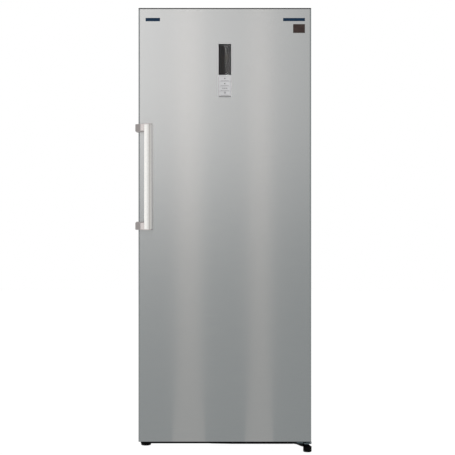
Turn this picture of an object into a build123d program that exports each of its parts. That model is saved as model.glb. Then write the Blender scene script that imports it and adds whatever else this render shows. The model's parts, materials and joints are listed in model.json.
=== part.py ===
from build123d import *
import os

# Upright single-door refrigerator, in millimetres.
# +X is to the right seen from the front, +Y goes to the back and +Z is up.
# The origin is on the floor, under the middle of the overall depth and of the door's width.

# Door
DOOR_WIDTH = 712.5
DOOR_HEIGHT = 1786.0
DOOR_THICKNESS = 62.0
DOOR_BOTTOM = 47.0
DOOR_EDGE_RADIUS = 7.0
DOOR_SHEET = 0.7
DOOR_HEM = 10.0
DOOR_LINER_WALL = 1.5
TOP_CAP_LIP = 4.5
BOTTOM_CAP_LIP = 1.0
CAP_SKIRT = 22.0
CAP_WALL = 2.5
SEAL_GAP = 12.0
SEAL_WIDTH = 18.0
SEAL_INSET = 17.5
SEAL_TOP_INSET = 20.0
SEAL_BOTTOM_INSET = 15.0
SEAL_EDGE_RADIUS = 3.0
DYKE_WIDTH = 25.0
DYKE_DEPTH = 50.0
DYKE_CLEARANCE = 15.0

# Cabinet
DOOR_OVERHANG = 3.0
CABINET_DEPTH = 630.0
CABINET_BOTTOM = 22.0
TOP_STEP = 12.0
CABINET_SHEET = 0.8
CABINET_EDGE_RADIUS = 3.0
FRAME_WIDTH = 42.0
SIDE_INSULATION = 58.0
TOP_INSULATION = 52.0
BACK_INSULATION = 56.0
FLOOR_INSULATION = 46.0
BAY_INSULATION = 40.0
LINER_WALL = 1.8
LINER_RADIUS = 16.0
BASE_HEIGHT = 46.0
BASE_SHEET = 1.5
BAY_DEPTH = 230.0
BAY_TOP = 255.0
BAY_FLOOR = 30.0
PLINTH_THICKNESS = 16.0
PLINTH_WALL = 3.0

# Hinges
PIN_RADIUS = 6.0
PIN_FROM_SIDE = 14.0
PIN_FROM_BACK = 30.0
PIN_LENGTH = 21.0
RUNNING_GAP = 0.06
BUSH_WALL = 3.0
BUSH_FLANGE = 1.4
BUSH_LENGTH = 24.0
ARM_HALF_WIDTH = 13.0
TOP_HINGE_SHEET = 4.0
TOP_HINGE_WIDTH = 80.0
TOP_HINGE_LENGTH = 60.0
RECESS_DEPTH = 14.0
RECESS_SIDE_GAP = 4.0
RECESS_FRONT_LIP = 8.0
EAR_THICKNESS = 5.0
EAR_DROP = 14.0
EAR_REACH = 17.5
BOTTOM_HINGE_WIDTH = 63.0
BOTTOM_HINGE_LENGTH = 60.0
PIN_COLLAR_RADIUS = 10.0
HINGE_SCREW_RADIUS = 2.5
HINGE_SCREW_LENGTH = 18.0
SCREW_HEAD_HEIGHT = 2.6
COVER_WALL = 2.0
COVER_HEIGHT = 22.0
COVER_LENGTH = 97.0

# Handle
HANDLE_LENGTH = 434.0
HANDLE_BOTTOM = 920.0
HANDLE_PROUD = 48.0
HANDLE_WALL = 2.0
BAR_INSET = 27.25
BAR_WIDTH = 32.0
BRACKET_HEIGHT = 33.0
BRACKET_OVERHANG = 11.5
BRACKET_WRAP = 34.0
BRACKET_SLOPE = 23.0
BRACKET_SLANT = 4.5
HANDLE_END = 3.5
HANDLE_PLUG = 20.0
HANDLE_SCREW_RADIUS = 2.5
HANDLE_SCREW_LENGTH = 34.0
BRACKET_FILLET = 1.8

# Display and keys
WINDOW_WIDTH = 51.6
WINDOW_HEIGHT = 127.6
WINDOW_TOP_DROP = 148.0
WINDOW_THICKNESS = 1.8
KEY_COUNT = 4
KEY_WIDTH = 49.0
KEY_HEIGHT = 19.4
KEY_SPACING = 20.0
KEY_TOP_DROP = 282.5
KEY_PROUD = 1.8
KEY_TRAVEL = 0.6
KEY_GAP = 0.4
KEYPAD_WIDTH = 55.6
KEYPAD_FLANGE = 1.2
TRAY_DEPTH = 18.0
TRAY_WALL = 1.6
TRAY_INSET = 3.2
TRAY_GAP = 0.2
WINDOW_REST = 5.0
BOARD_THICKNESS = 1.6
SWITCH_SIZE = 6.0
SWITCH_HEIGHT = 4.0
SWITCH_FROM_TRAY = 4.0
DIGITS_WIDTH = 26.0
PLATE_THICKNESS = 0.8
LEFT_PLATE_INSET = 30.0
LEFT_PLATE_WIDTH = 59.3
LEFT_PLATE_HEIGHT = 13.6
LEFT_PLATE_DROP = 41.0
RIGHT_PLATE_INSET = 26.6
RIGHT_PLATE_WIDTH = 89.8
RIGHT_PLATE_HEIGHT = 12.6
RIGHT_PLATE_DROP = 41.4
SQUARE_PLATE_WIDTH = 48.6
SQUARE_PLATE_HEIGHT = 36.2
SQUARE_PLATE_DROP = 66.5

# Shelves, drawers and bins
SHELF_COUNT = 4
GLASS_THICKNESS = 4.0
SHELF_SIDE_GAP = 3.0
SHELF_FRONT = 126.0
TRIM_DEPTH = 20.0
TRIM_GRIP = 12.0
RIB_WIDTH = 12.0
RIB_HEIGHT = 8.0
RIB_FRONT = 144.0
DRAWER_DOOR_GAP = 11.0
DRAWER_HEIGHT = 182.0
DRAWER_WALL = 2.5
DRAWER_TRAVEL = 65.0
DRAWER_SIDE_GAP = 18.0
DRAWER_LIP = 13.0
LOWER_DRAWER_BACK_GAP = 7.7
UPPER_DRAWER_BACK_GAP = 17.4
DRAWER_FLOOR_GAP = 5.0
DRAWER_STACK_GAP = 12.0
SHELF_OVER_DRAWER = 20.0
TOP_SHELF_EXTRA = 80.0
SHELF_BACK_GAP = 8.0
SLIDE_GAP = 0.4
BIN_COUNT = 4
BIN_DEPTH = 102.0
BIN_HEIGHT = 92.0
BIN_WALL = 2.4
BIN_SIDE_GAP = 7.0
BIN_OVER_SHELF = 32.0
LUG_SIZE = 6.0
LUG_HEIGHT = 12.0
LAMP_WIDTH = 180.0
LAMP_DEPTH = 40.0
LAMP_DROP = 9.0
LAMP_SETBACK = 150.0

# Cooling
DUCT_DEPTH = 65.0
DUCT_WALL = 3.0
VENT_WIDTH = 60.0
VENT_HEIGHT = 6.0
VENT_COUNT = 5
FAN_RADIUS = 50.0
FAN_HUB_RADIUS = 15.0
FAN_BLADES = 5
FAN_SHAFT_RADIUS = 2.0
FAN_ABOVE_COIL = 80.0
COIL_WIDTH = 380.0
COIL_SIDE_GAP = 40.0
COIL_HEIGHT = 240.0
COIL_DEPTH = 44.0
COIL_RUNS = 8
COIL_LIFT = 50.0
COIL_FINS = 24
COIL_TUBE_RADIUS = 4.0
HEATER_RADIUS = 4.5
LINE_RADIUS = 2.4
CONDENSER_RUNS = 6
CONDENSER_PITCH = 70.0
HOSE_RADIUS = 9.0
HOSE_BORE_RADIUS = 7.0
COMPRESSOR_RADIUS = 78.0
COMPRESSOR_HEIGHT = 165.0
MOUNT_HEIGHT = 19.0
PAN_WALL = 2.0
PAN_WIDTH = 184.0
GLAND_BORE_RADIUS = 4.5

# Feet and rollers
LEFT_FOOT_RADIUS = 21.0
RIGHT_FOOT_RADIUS = 16.5
RIGHT_FOOT_COLLAR = 1.5
FOOT_TREAD = 16.5
FOOT_STEM_RADIUS = 5.0
LEFT_FOOT_SETBACK = 72.0
LEFT_FOOT_OUTSET = 4.0
ROLLER_RADIUS = 13.0
ROLLER_WIDTH = 20.0
ROLLER_SETBACK = 36.0
ROLLER_INSET = 52.5
AXLE_RADIUS = 3.0
EAR_SHEET = 1.6

# Planes and edges that follow from the sizes above
BACK = (HANDLE_PROUD + DOOR_THICKNESS + SEAL_GAP + CABINET_DEPTH) / 2
FRONT = BACK - CABINET_DEPTH
DOOR_BACK = FRONT - SEAL_GAP
DOOR_FRONT = DOOR_BACK - DOOR_THICKNESS
DOOR_SIDE = DOOR_WIDTH / 2
DOOR_TOP = DOOR_BOTTOM + DOOR_HEIGHT
SKIN_TOP = DOOR_TOP - TOP_CAP_LIP
SKIN_BOTTOM = DOOR_BOTTOM + BOTTOM_CAP_LIP
CABINET_WIDTH = DOOR_WIDTH - 2 * DOOR_OVERHANG
SIDE = CABINET_WIDTH / 2
CABINET_TOP = DOOR_TOP - TOP_STEP
INNER_SIDE = SIDE - CABINET_SHEET
INNER_TOP = CABINET_TOP - CABINET_SHEET
BASE_TOP = BASE_HEIGHT + BASE_SHEET
LINER_SIDE = INNER_SIDE - SIDE_INSULATION - LINER_WALL
LINER_TOP = INNER_TOP - TOP_INSULATION - LINER_WALL
LINER_FLOOR = BASE_TOP + FLOOR_INSULATION + LINER_WALL
LINER_BACK = BACK - CABINET_SHEET - BACK_INSULATION - LINER_WALL
BAY_FRONT = BACK - BAY_DEPTH
HUMP_FRONT = BAY_FRONT - BASE_SHEET - BAY_INSULATION - LINER_WALL
HUMP_TOP = BAY_TOP + BAY_INSULATION + LINER_WALL
FRAME_SIDE = SIDE - FRAME_WIDTH
FRAME_TOP = CABINET_TOP - FRAME_WIDTH
FRAME_BOTTOM = BASE_TOP + FRAME_WIDTH - 4 * CABINET_SHEET
PIN_X = DOOR_SIDE - PIN_FROM_SIDE
PIN_Y = DOOR_BACK - PIN_FROM_BACK
RECESS_FLOOR = DOOR_TOP - RECESS_DEPTH
EAR_BOTTOM = DOOR_BOTTOM - EAR_DROP
EAR_TOP = EAR_BOTTOM + EAR_THICKNESS
DUCT_FRONT = LINER_BACK - DUCT_DEPTH
DUCT_WIDTH = COIL_WIDTH + 2 * COIL_SIDE_GAP
DRAWER_FACE = DOOR_BACK + DYKE_DEPTH + DRAWER_DOOR_GAP + DRAWER_TRAVEL
LOWER_DRAWER_DEPTH = HUMP_FRONT - LOWER_DRAWER_BACK_GAP - DRAWER_FACE
UPPER_DRAWER_DEPTH = LINER_BACK - UPPER_DRAWER_BACK_GAP - DRAWER_FACE
LOWER_DRAWER_BOTTOM = LINER_FLOOR + DRAWER_FLOOR_GAP
UPPER_DRAWER_BOTTOM = max(HUMP_TOP, LOWER_DRAWER_BOTTOM + DRAWER_HEIGHT) + DRAWER_STACK_GAP
LOWEST_SHELF = UPPER_DRAWER_BOTTOM + DRAWER_HEIGHT + SHELF_OVER_DRAWER
SHELF_SPACING = (LINER_TOP - LOWEST_SHELF - TOP_SHELF_EXTRA) / SHELF_COUNT
SHELF_BACK = DUCT_FRONT - SHELF_BACK_GAP
DUCT_BOTTOM = LOWEST_SHELF + SHELF_OVER_DRAWER
DUCT_TOP = LINER_TOP - LINER_RADIUS - SHELF_OVER_DRAWER
COIL_BOTTOM = DUCT_BOTTOM + COIL_LIFT
FAN_HEIGHT = COIL_BOTTOM + COIL_HEIGHT + FAN_ABOVE_COIL
DYKE_SIDE = LINER_SIDE - DYKE_CLEARANCE
BIN_SIDE = DYKE_SIDE - DYKE_WIDTH - BIN_SIDE_GAP


# A box from its six faces.
def block(x0, x1, y0, y1, z0, z1):
    box = Box(x1 - x0, y1 - y0, z1 - z0)
    return Pos((x0 + x1) / 2, (y0 + y1) / 2, (z0 + z1) / 2) * box


# A box that is the same to the left and right.
def centred(half_width, y0, y1, z0, z1):
    return block(-half_width, half_width, y0, y1, z0, z1)


# Cylinders along Z, X and Y.
def upright(x, y, z0, z1, radius):
    return Pos(x, y, (z0 + z1) / 2) * Cylinder(radius, z1 - z0)


def crosswise(x0, x1, y, z, radius):
    return Pos((x0 + x1) / 2, y, z) * Rot(0, 90, 0) * Cylinder(radius, x1 - x0)


def lengthwise(x, y0, y1, z, radius):
    return Pos(x, (y0 + y1) / 2, z) * Rot(90, 0, 0) * Cylinder(radius, y1 - y0)


# A flat outline, given in plan, raised from one height to another.
def raised(outline, z0, z1):
    return extrude(Plane.XY.offset(z0) * outline, amount=z1 - z0)


# A round piece from its half outline of radius and height pairs.
def turned(x, y, *outline):
    half = Plane.XZ * Polygon(*outline, align=None)
    return Pos(x, y, 0) * revolve(half, Axis.Z)


# A round tube or rod along straight runs with bent corners.
def bent_rod(points, radius, bend):
    path = FilletPolyline(*points, radius=bend)
    start = Plane(origin=path @ 0, z_dir=path % 0)
    return sweep(start * Circle(radius), path=path)


# Joins a list of shapes into one.
def joined(shapes):
    whole = shapes[0]
    for shape in shapes[1:]:
        whole = whole + shape
    return whole


# Keeps separate pieces side by side in one node.
def group(shapes):
    return Compound(children=[solid for shape in shapes for solid in shape.solids()])


# The door's outline in plan, with its two front corners rounded, drawn in by an inset.
def door_outline(inset, back_inset):
    width = DOOR_WIDTH - 2 * inset
    depth = DOOR_THICKNESS - inset - back_inset
    middle = (DOOR_FRONT + inset + DOOR_BACK - back_inset) / 2
    outline = Pos(0, middle) * Rectangle(width, depth)
    corners = outline.vertices().sort_by(Axis.Y)[:2]
    return fillet(corners, DOOR_EDGE_RADIUS - inset)


# The space in the door's top for the hinge arm, open to the side and the back.
def hinge_recess(floor):
    return block(
        PIN_X - ARM_HALF_WIDTH - RECESS_SIDE_GAP,
        DOOR_SIDE + 1,
        DOOR_FRONT + RECESS_FRONT_LIP,
        DOOR_BACK + 1,
        floor,
        DOOR_TOP + 1,
    )


# The hole in the door's skin behind the display and the keys.
def panel_hole():
    front = DOOR_FRONT - 1
    back = DOOR_FRONT + 3
    low = keypad_bottom() + TRAY_INSET - TRAY_GAP
    middle = window_bottom() - TRAY_INSET - 1 + TRAY_GAP
    high = window_top() - WINDOW_REST + TRAY_GAP
    keys = centred(KEYPAD_WIDTH / 2 - 2 + TRAY_GAP, front, back, low, middle)
    window = centred(WINDOW_WIDTH / 2 - WINDOW_REST + TRAY_GAP, front, back, middle, high)
    return keys + window


def window_top():
    return DOOR_TOP - WINDOW_TOP_DROP


def window_bottom():
    return window_top() - WINDOW_HEIGHT


def keys_top():
    return DOOR_TOP - KEY_TOP_DROP


def keypad_bottom():
    return keys_top() - (KEY_COUNT - 1) * KEY_SPACING - KEY_HEIGHT - KEY_GAP - 4


def door_skin():
    outer = raised(door_outline(0, 0), SKIN_BOTTOM, SKIN_TOP)
    inner = raised(door_outline(DOOR_SHEET, DOOR_SHEET), SKIN_BOTTOM, SKIN_TOP)
    open_back = centred(
        DOOR_SIDE - DOOR_HEM, DOOR_BACK - 2 * DOOR_SHEET, DOOR_BACK + 1, SKIN_BOTTOM, SKIN_TOP
    )
    skin = outer - inner - open_back
    skin = skin - hinge_recess(RECESS_FLOOR - CAP_WALL) - panel_hole()
    for screw in handle_screw_places():
        skin = skin - crosswise(-DOOR_SIDE - 1, -DOOR_SIDE + 2, screw[0], screw[1], HANDLE_SCREW_RADIUS)
    return skin


# A closed lip over the skin's end, and a hollow skirt inside the skin that is open to the foam.
def cap_blank(lip_low, lip_high, skirt_low, skirt_high):
    lip = raised(door_outline(0, 0), lip_low, lip_high)
    plug = raised(door_outline(DOOR_SHEET, DOOR_LINER_WALL), skirt_low, skirt_high)
    hollow_outline = door_outline(DOOR_SHEET + CAP_WALL, DOOR_LINER_WALL + CAP_WALL)
    return lip + (plug - raised(hollow_outline, skirt_low, skirt_high))


def door_cap_top():
    cap = cap_blank(SKIN_TOP, DOOR_TOP, DOOR_TOP - CAP_SKIRT, SKIN_TOP)
    pocket = block(
        PIN_X - ARM_HALF_WIDTH - RECESS_SIDE_GAP - CAP_WALL,
        DOOR_SIDE,
        DOOR_FRONT + RECESS_FRONT_LIP - CAP_WALL,
        DOOR_BACK,
        RECESS_FLOOR - CAP_WALL,
        SKIN_TOP,
    )
    pocket = pocket & raised(door_outline(DOOR_SHEET, DOOR_LINER_WALL), RECESS_FLOOR - CAP_WALL, SKIN_TOP)
    boss = upright(PIN_X, PIN_Y, RECESS_FLOOR - BUSH_LENGTH, RECESS_FLOOR, PIN_RADIUS + BUSH_WALL + 2.5)
    bush_hole = upright(
        PIN_X, PIN_Y, RECESS_FLOOR - BUSH_LENGTH - 1, RECESS_FLOOR + 1, PIN_RADIUS + BUSH_WALL
    )
    return cap + pocket + boss - hinge_recess(RECESS_FLOOR) - bush_hole


def door_cap_bottom():
    cap = cap_blank(DOOR_BOTTOM, SKIN_BOTTOM, SKIN_BOTTOM, DOOR_BOTTOM + CAP_SKIRT)
    boss = upright(PIN_X, PIN_Y, DOOR_BOTTOM, DOOR_BOTTOM + BUSH_LENGTH, PIN_RADIUS + BUSH_WALL + 2.5)
    bush_hole = upright(PIN_X, PIN_Y, DOOR_BOTTOM - 1, DOOR_BOTTOM + BUSH_LENGTH + 1, PIN_RADIUS + BUSH_WALL)
    return cap + boss - bush_hole


# One flanged bush at the top and one flush bush at the bottom.
def hinge_bushes():
    bore = PIN_RADIUS + RUNNING_GAP
    wall = PIN_RADIUS + BUSH_WALL
    top = upright(PIN_X, PIN_Y, RECESS_FLOOR - BUSH_LENGTH, RECESS_FLOOR, wall)
    top = top + upright(PIN_X, PIN_Y, RECESS_FLOOR, RECESS_FLOOR + BUSH_FLANGE, wall + BUSH_WALL)
    bottom = upright(PIN_X, PIN_Y, DOOR_BOTTOM, DOOR_BOTTOM + BUSH_LENGTH, wall)
    bores = upright(PIN_X, PIN_Y, DOOR_BOTTOM - 1, DOOR_TOP, bore)
    return group([top - bores, bottom - bores])


# The ridge that stands into the cabinet, as a ring drawn in by an inset.
def dyke_ring(inset, y0, y1):
    outer = centred(
        DYKE_SIDE - inset,
        y0,
        y1,
        LINER_FLOOR + DYKE_CLEARANCE + inset,
        LINER_TOP - DYKE_CLEARANCE - inset,
    )
    inner = centred(
        DYKE_SIDE - DYKE_WIDTH + inset,
        y0 - 1,
        y1 + 1,
        LINER_FLOOR + DYKE_CLEARANCE + DYKE_WIDTH - inset,
        LINER_TOP - DYKE_CLEARANCE - DYKE_WIDTH + inset,
    )
    return outer - inner


def shelf_level(index):
    return LOWEST_SHELF + index * SHELF_SPACING


def bin_bottom(index):
    return shelf_level(index) + BIN_OVER_SHELF


def lug_level(index):
    return bin_bottom(index) + BIN_HEIGHT * 0.6


# The hollow side of the ridge, which the foam fills.
def dyke_hollow():
    return dyke_ring(DOOR_LINER_WALL, DOOR_BACK - DOOR_LINER_WALL, DOOR_BACK + DYKE_DEPTH - DOOR_LINER_WALL)


def door_liner():
    plate = centred(
        DOOR_SIDE - DOOR_HEM, DOOR_BACK - DOOR_LINER_WALL, DOOR_BACK, SKIN_BOTTOM, SKIN_TOP
    )
    ridge = dyke_ring(0, DOOR_BACK, DOOR_BACK + DYKE_DEPTH)
    rims = ridge.edges().filter_by(GeomType.LINE).group_by(Axis.Y)[-1]
    ridge = fillet(rims, DYKE_WIDTH / 5)
    liner = plate + ridge - dyke_hollow() - hinge_recess(RECESS_FLOOR - CAP_WALL)
    inner_face = DYKE_SIDE - DYKE_WIDTH
    for index in range(BIN_COUNT):
        for side in (-1, 1):
            near, far = sorted([side * inner_face, side * (inner_face - LUG_SIZE)])
            liner = liner + block(
                near,
                far,
                DOOR_BACK + BIN_DEPTH * 0.2,
                DOOR_BACK + DYKE_DEPTH - 8,
                lug_level(index) - LUG_HEIGHT,
                lug_level(index),
            )
    return liner


def door_gasket():
    side = DOOR_SIDE - SEAL_INSET
    bottom = DOOR_BOTTOM + SEAL_BOTTOM_INSET
    top = DOOR_TOP - SEAL_TOP_INSET
    face = FRONT - SLIDE_GAP
    outer = centred(side, DOOR_BACK, face, bottom, top)
    inner = centred(side - SEAL_WIDTH, DOOR_BACK - 1, face + 1, bottom + SEAL_WIDTH, top - SEAL_WIDTH)
    ring = outer - inner
    rims = ring.edges().filter_by(GeomType.LINE).group_by(Axis.Y)[-1]
    return fillet(rims, SEAL_EDGE_RADIUS)


# Everything inside the door that the foam flows round.
def door_foam(others):
    foam = raised(door_outline(DOOR_SHEET, DOOR_LINER_WALL), SKIN_BOTTOM, SKIN_TOP)
    foam = foam + dyke_hollow() - hinge_recess(RECESS_FLOOR - CAP_WALL)
    foam = foam - tray_blank()
    for other in others:
        foam = foam - other
    return max(foam.solids(), key=lambda solid: solid.volume)


# Heights and depths of the four screws that hold the handle brackets to the door's side.
def handle_screw_places():
    places = []
    for bottom in (HANDLE_BOTTOM, HANDLE_BOTTOM + HANDLE_LENGTH - BRACKET_HEIGHT):
        for share in (0.32, 0.68):
            places.append((DOOR_FRONT + BRACKET_WRAP * 0.62, bottom + BRACKET_HEIGHT * share))
    return places


# Where the screws sit in the bracket, the skin and the foam.
def handle_screw_blanks():
    seat = handle_screw_seat()
    blanks = []
    for y, z in handle_screw_places():
        head = crosswise(seat, seat + SCREW_HEAD_HEIGHT, y, z, 2 * HANDLE_SCREW_RADIUS)
        blanks.append(head + crosswise(seat, seat + HANDLE_SCREW_LENGTH, y, z, HANDLE_SCREW_RADIUS))
    return group(blanks)


def handle_screw_seat():
    return -DOOR_SIDE - BRACKET_OVERHANG + 4


def handle_screws():
    seat = handle_screw_seat()
    sockets = [
        crosswise(seat - 1, seat + 1.4, y, z, HANDLE_SCREW_RADIUS * 0.8) for y, z in handle_screw_places()
    ]
    return handle_screw_blanks() - sockets


# The bar's section in plan: a ridge a little left of the middle, and chamfered edges.
def bar_section():
    left = -DOOR_SIDE + BAR_INSET
    right = left + BAR_WIDTH
    ridge = DOOR_FRONT - HANDLE_PROUD
    return Polygon(
        (left, ridge + 6),
        (left + 19.5, ridge),
        (right - 3, ridge + 6),
        (right, ridge + 10),
        (right, ridge + 19),
        (right - 7, ridge + 27),
        (left + 5, ridge + 27),
        (left, ridge + 23),
        align=None,
    )


def handle_bar():
    bottom = HANDLE_BOTTOM + HANDLE_END
    top = HANDLE_BOTTOM + HANDLE_LENGTH - HANDLE_END
    bore = offset(bar_section(), amount=-HANDLE_WALL, kind=Kind.INTERSECTION)
    return raised(bar_section(), bottom, top) - raised(bore, bottom - 1, top + 1)


# Edges round the faces that a hand can touch, in groups from the lowest to the highest.
def bracket_rims(body):
    outside = body.faces().filter_by(lambda face: face.normal_at().X < -0.1)
    return outside.edges().filter_by(Axis.Z, reverse=True).group_by(Axis.Z)


# The bracket wraps from the door's side forward to the bar, and closes the bar's end.
# Its rim towards the bar's middle is cut at a wide slant.
def handle_bracket(bottom, at_top):
    side = -DOOR_SIDE
    outer = side - BRACKET_OVERHANG
    bar_left = side + BAR_INSET
    ridge = DOOR_FRONT - HANDLE_PROUD
    wrap = Polygon(
        (side, DOOR_FRONT + BRACKET_WRAP),
        (side - BRACKET_OVERHANG * 0.6, DOOR_FRONT + BRACKET_WRAP),
        (outer, DOOR_FRONT + BRACKET_WRAP - 5),
        (outer, DOOR_FRONT - 8),
        (outer + BRACKET_SLOPE, ridge + 18),
        (bar_left, ridge + 8),
        (bar_left, ridge + 22),
        (side + 6.5, DOOR_FRONT - 4),
        (side, DOOR_FRONT - 1),
        align=None,
    )
    body = raised(wrap, bottom, bottom + BRACKET_HEIGHT)
    inner, end = (0, -1) if at_top else (-1, 0)
    body = chamfer(bracket_rims(body)[inner], BRACKET_SLANT)
    body = chamfer(bracket_rims(body)[end], BRACKET_FILLET)
    end = bottom + BRACKET_HEIGHT - HANDLE_END if at_top else bottom
    cap = raised(bar_section(), end, end + HANDLE_END)
    core = offset(bar_section(), amount=-HANDLE_WALL - 0.15, kind=Kind.INTERSECTION)
    reach = -HANDLE_PLUG if at_top else HANDLE_PLUG
    start = end if at_top else end + HANDLE_END
    low, high = sorted([start, start + reach])
    plug = raised(core, low, high)
    bracket = body + cap + plug
    for y, z in handle_screw_places():
        if bottom < z < bottom + BRACKET_HEIGHT:
            bracket = bracket - crosswise(outer - 1, outer + 4, y, z, 2 * HANDLE_SCREW_RADIUS)
    return bracket


def handle_brackets(screws):
    low = handle_bracket(HANDLE_BOTTOM, False)
    high = handle_bracket(HANDLE_BOTTOM + HANDLE_LENGTH - BRACKET_HEIGHT, True)
    return group([low - screws, high - screws])


# The outside of the tray behind the display and keys, which the foam flows round.
def tray_blank():
    back = DOOR_FRONT + TRAY_DEPTH
    low = keypad_bottom() + TRAY_INSET
    middle = window_bottom() - TRAY_INSET - 1
    high = window_top() - WINDOW_REST
    keys = centred(KEYPAD_WIDTH / 2 - 2, DOOR_FRONT, back, low, middle)
    window = centred(WINDOW_WIDTH / 2 - WINDOW_REST, DOOR_FRONT, back, middle, high)
    return keys + window


def key_bottom(index):
    return keys_top() - index * KEY_SPACING - KEY_HEIGHT


def panel_bezel():
    flange = centred(
        KEYPAD_WIDTH / 2, DOOR_FRONT - KEYPAD_FLANGE, DOOR_FRONT, keypad_bottom(), window_bottom() - 1
    )
    flange = fillet(flange.edges().filter_by(Axis.Y), 2.5)
    inside = DOOR_FRONT + TRAY_DEPTH - TRAY_WALL
    keys_hollow = centred(
        KEY_WIDTH / 2 + KEY_GAP,
        DOOR_FRONT - KEYPAD_FLANGE - 1,
        inside,
        key_bottom(KEY_COUNT - 1) - KEY_GAP,
        keys_top() + KEY_GAP,
    )
    window_hollow = centred(
        WINDOW_WIDTH / 2 - WINDOW_REST - TRAY_WALL,
        DOOR_FRONT - 1,
        inside,
        keys_top(),
        window_top() - WINDOW_REST - TRAY_WALL,
    )
    bridge = centred(
        KEY_WIDTH / 2, DOOR_FRONT - 2, DOOR_FRONT, keys_top() + KEY_GAP, window_bottom() - 1
    )
    return flange + tray_blank() - keys_hollow - (window_hollow - bridge)


# Smoked window with eased front edges, glued on the door's front.
def display_window():
    pane = centred(
        WINDOW_WIDTH / 2, DOOR_FRONT - WINDOW_THICKNESS, DOOR_FRONT, window_bottom(), window_top()
    )
    pane = fillet(pane.edges().filter_by(Axis.Y), 2.0)
    return chamfer(pane.faces().sort_by(Axis.Y)[0].edges(), 0.4)


def switch_front():
    return DOOR_FRONT + TRAY_DEPTH - TRAY_WALL - SWITCH_FROM_TRAY - SWITCH_HEIGHT


# Circuit board with the number display, the icon row and one switch behind each key.
def display_board():
    front = switch_front() + SWITCH_HEIGHT
    half = WINDOW_WIDTH / 2 - WINDOW_REST - TRAY_WALL - 0.6
    low = key_bottom(KEY_COUNT - 1) + 1
    high = window_top() - WINDOW_REST - TRAY_WALL - 1
    board = centred(half, front, front + BOARD_THICKNESS, low, high)
    digits = centred(DIGITS_WIDTH / 2, front - 9, front, high - 62, high - 40)
    icons = block(-8, 0, front - 9, front, high - 104, high - 76)
    pieces = [board, digits, icons]
    for index in range(KEY_COUNT):
        middle = key_bottom(index) + KEY_HEIGHT / 2
        half = SWITCH_SIZE / 2
        pieces.append(centred(half, switch_front(), front, middle - half, middle + half))
    return joined(pieces)


# A key cap with a stem that ends just ahead of its switch.
def key(index):
    bottom = key_bottom(index)
    cap = centred(KEY_WIDTH / 2, DOOR_FRONT - KEY_PROUD, DOOR_FRONT + 2, bottom, bottom + KEY_HEIGHT)
    cap = fillet(cap.edges().filter_by(Axis.Y), 1.5)
    cap = chamfer(cap.faces().sort_by(Axis.Y)[0].edges(), 0.35)
    middle = bottom + KEY_HEIGHT / 2
    tip = switch_front() - KEY_TRAVEL - KEY_GAP
    return cap + lengthwise(0, DOOR_FRONT + 1, tip, middle, 2.2)


# Small bare plates on the door's front: two long ones near the corners and a square one.
def door_plates():
    left = -DOOR_SIDE + LEFT_PLATE_INSET
    right = DOOR_SIDE - RIGHT_PLATE_INSET
    plates = []
    for x, width, drop, height in (
        (left, LEFT_PLATE_WIDTH, LEFT_PLATE_DROP, LEFT_PLATE_HEIGHT),
        (right - RIGHT_PLATE_WIDTH, RIGHT_PLATE_WIDTH, RIGHT_PLATE_DROP, RIGHT_PLATE_HEIGHT),
        (right - SQUARE_PLATE_WIDTH, SQUARE_PLATE_WIDTH, SQUARE_PLATE_DROP, SQUARE_PLATE_HEIGHT),
    ):
        top = DOOR_TOP - drop
        plates.append(block(x, x + width, DOOR_FRONT - PLATE_THICKNESS, DOOR_FRONT, top - height, top))
    return group(plates)


# The cabinet's outside in plan with rounded front edges, drawn in by an inset.
def cabinet_outline(inset):
    width = CABINET_WIDTH - 2 * inset
    middle = (FRONT + inset + BACK) / 2
    outline = Pos(0, middle) * Rectangle(width, CABINET_DEPTH - inset)
    corners = outline.vertices().sort_by(Axis.Y)[:2]
    return fillet(corners, CABINET_EDGE_RADIUS - inset)


# Side and top sheets with the front frame that the door seals against.
def outer_wrapper():
    shell = raised(cabinet_outline(0), CABINET_BOTTOM, CABINET_TOP)
    shell = shell - raised(cabinet_outline(CABINET_SHEET), CABINET_BOTTOM - 1, INNER_TOP)
    mouth = centred(FRAME_SIDE, FRONT - 1, FRONT + 2, FRAME_BOTTOM, FRAME_TOP)
    under_rail = centred(INNER_SIDE, FRONT - 1, FRONT + CABINET_EDGE_RADIUS, CABINET_BOTTOM - 1, BASE_TOP)
    return shell - mouth - under_rail


def rear_panel():
    return centred(INNER_SIDE, BACK - CABINET_SHEET, BACK, BAY_TOP, INNER_TOP)


def roller_x(side):
    return side * (SIDE - ROLLER_INSET)


def roller_y():
    return BACK - ROLLER_SETBACK


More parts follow.
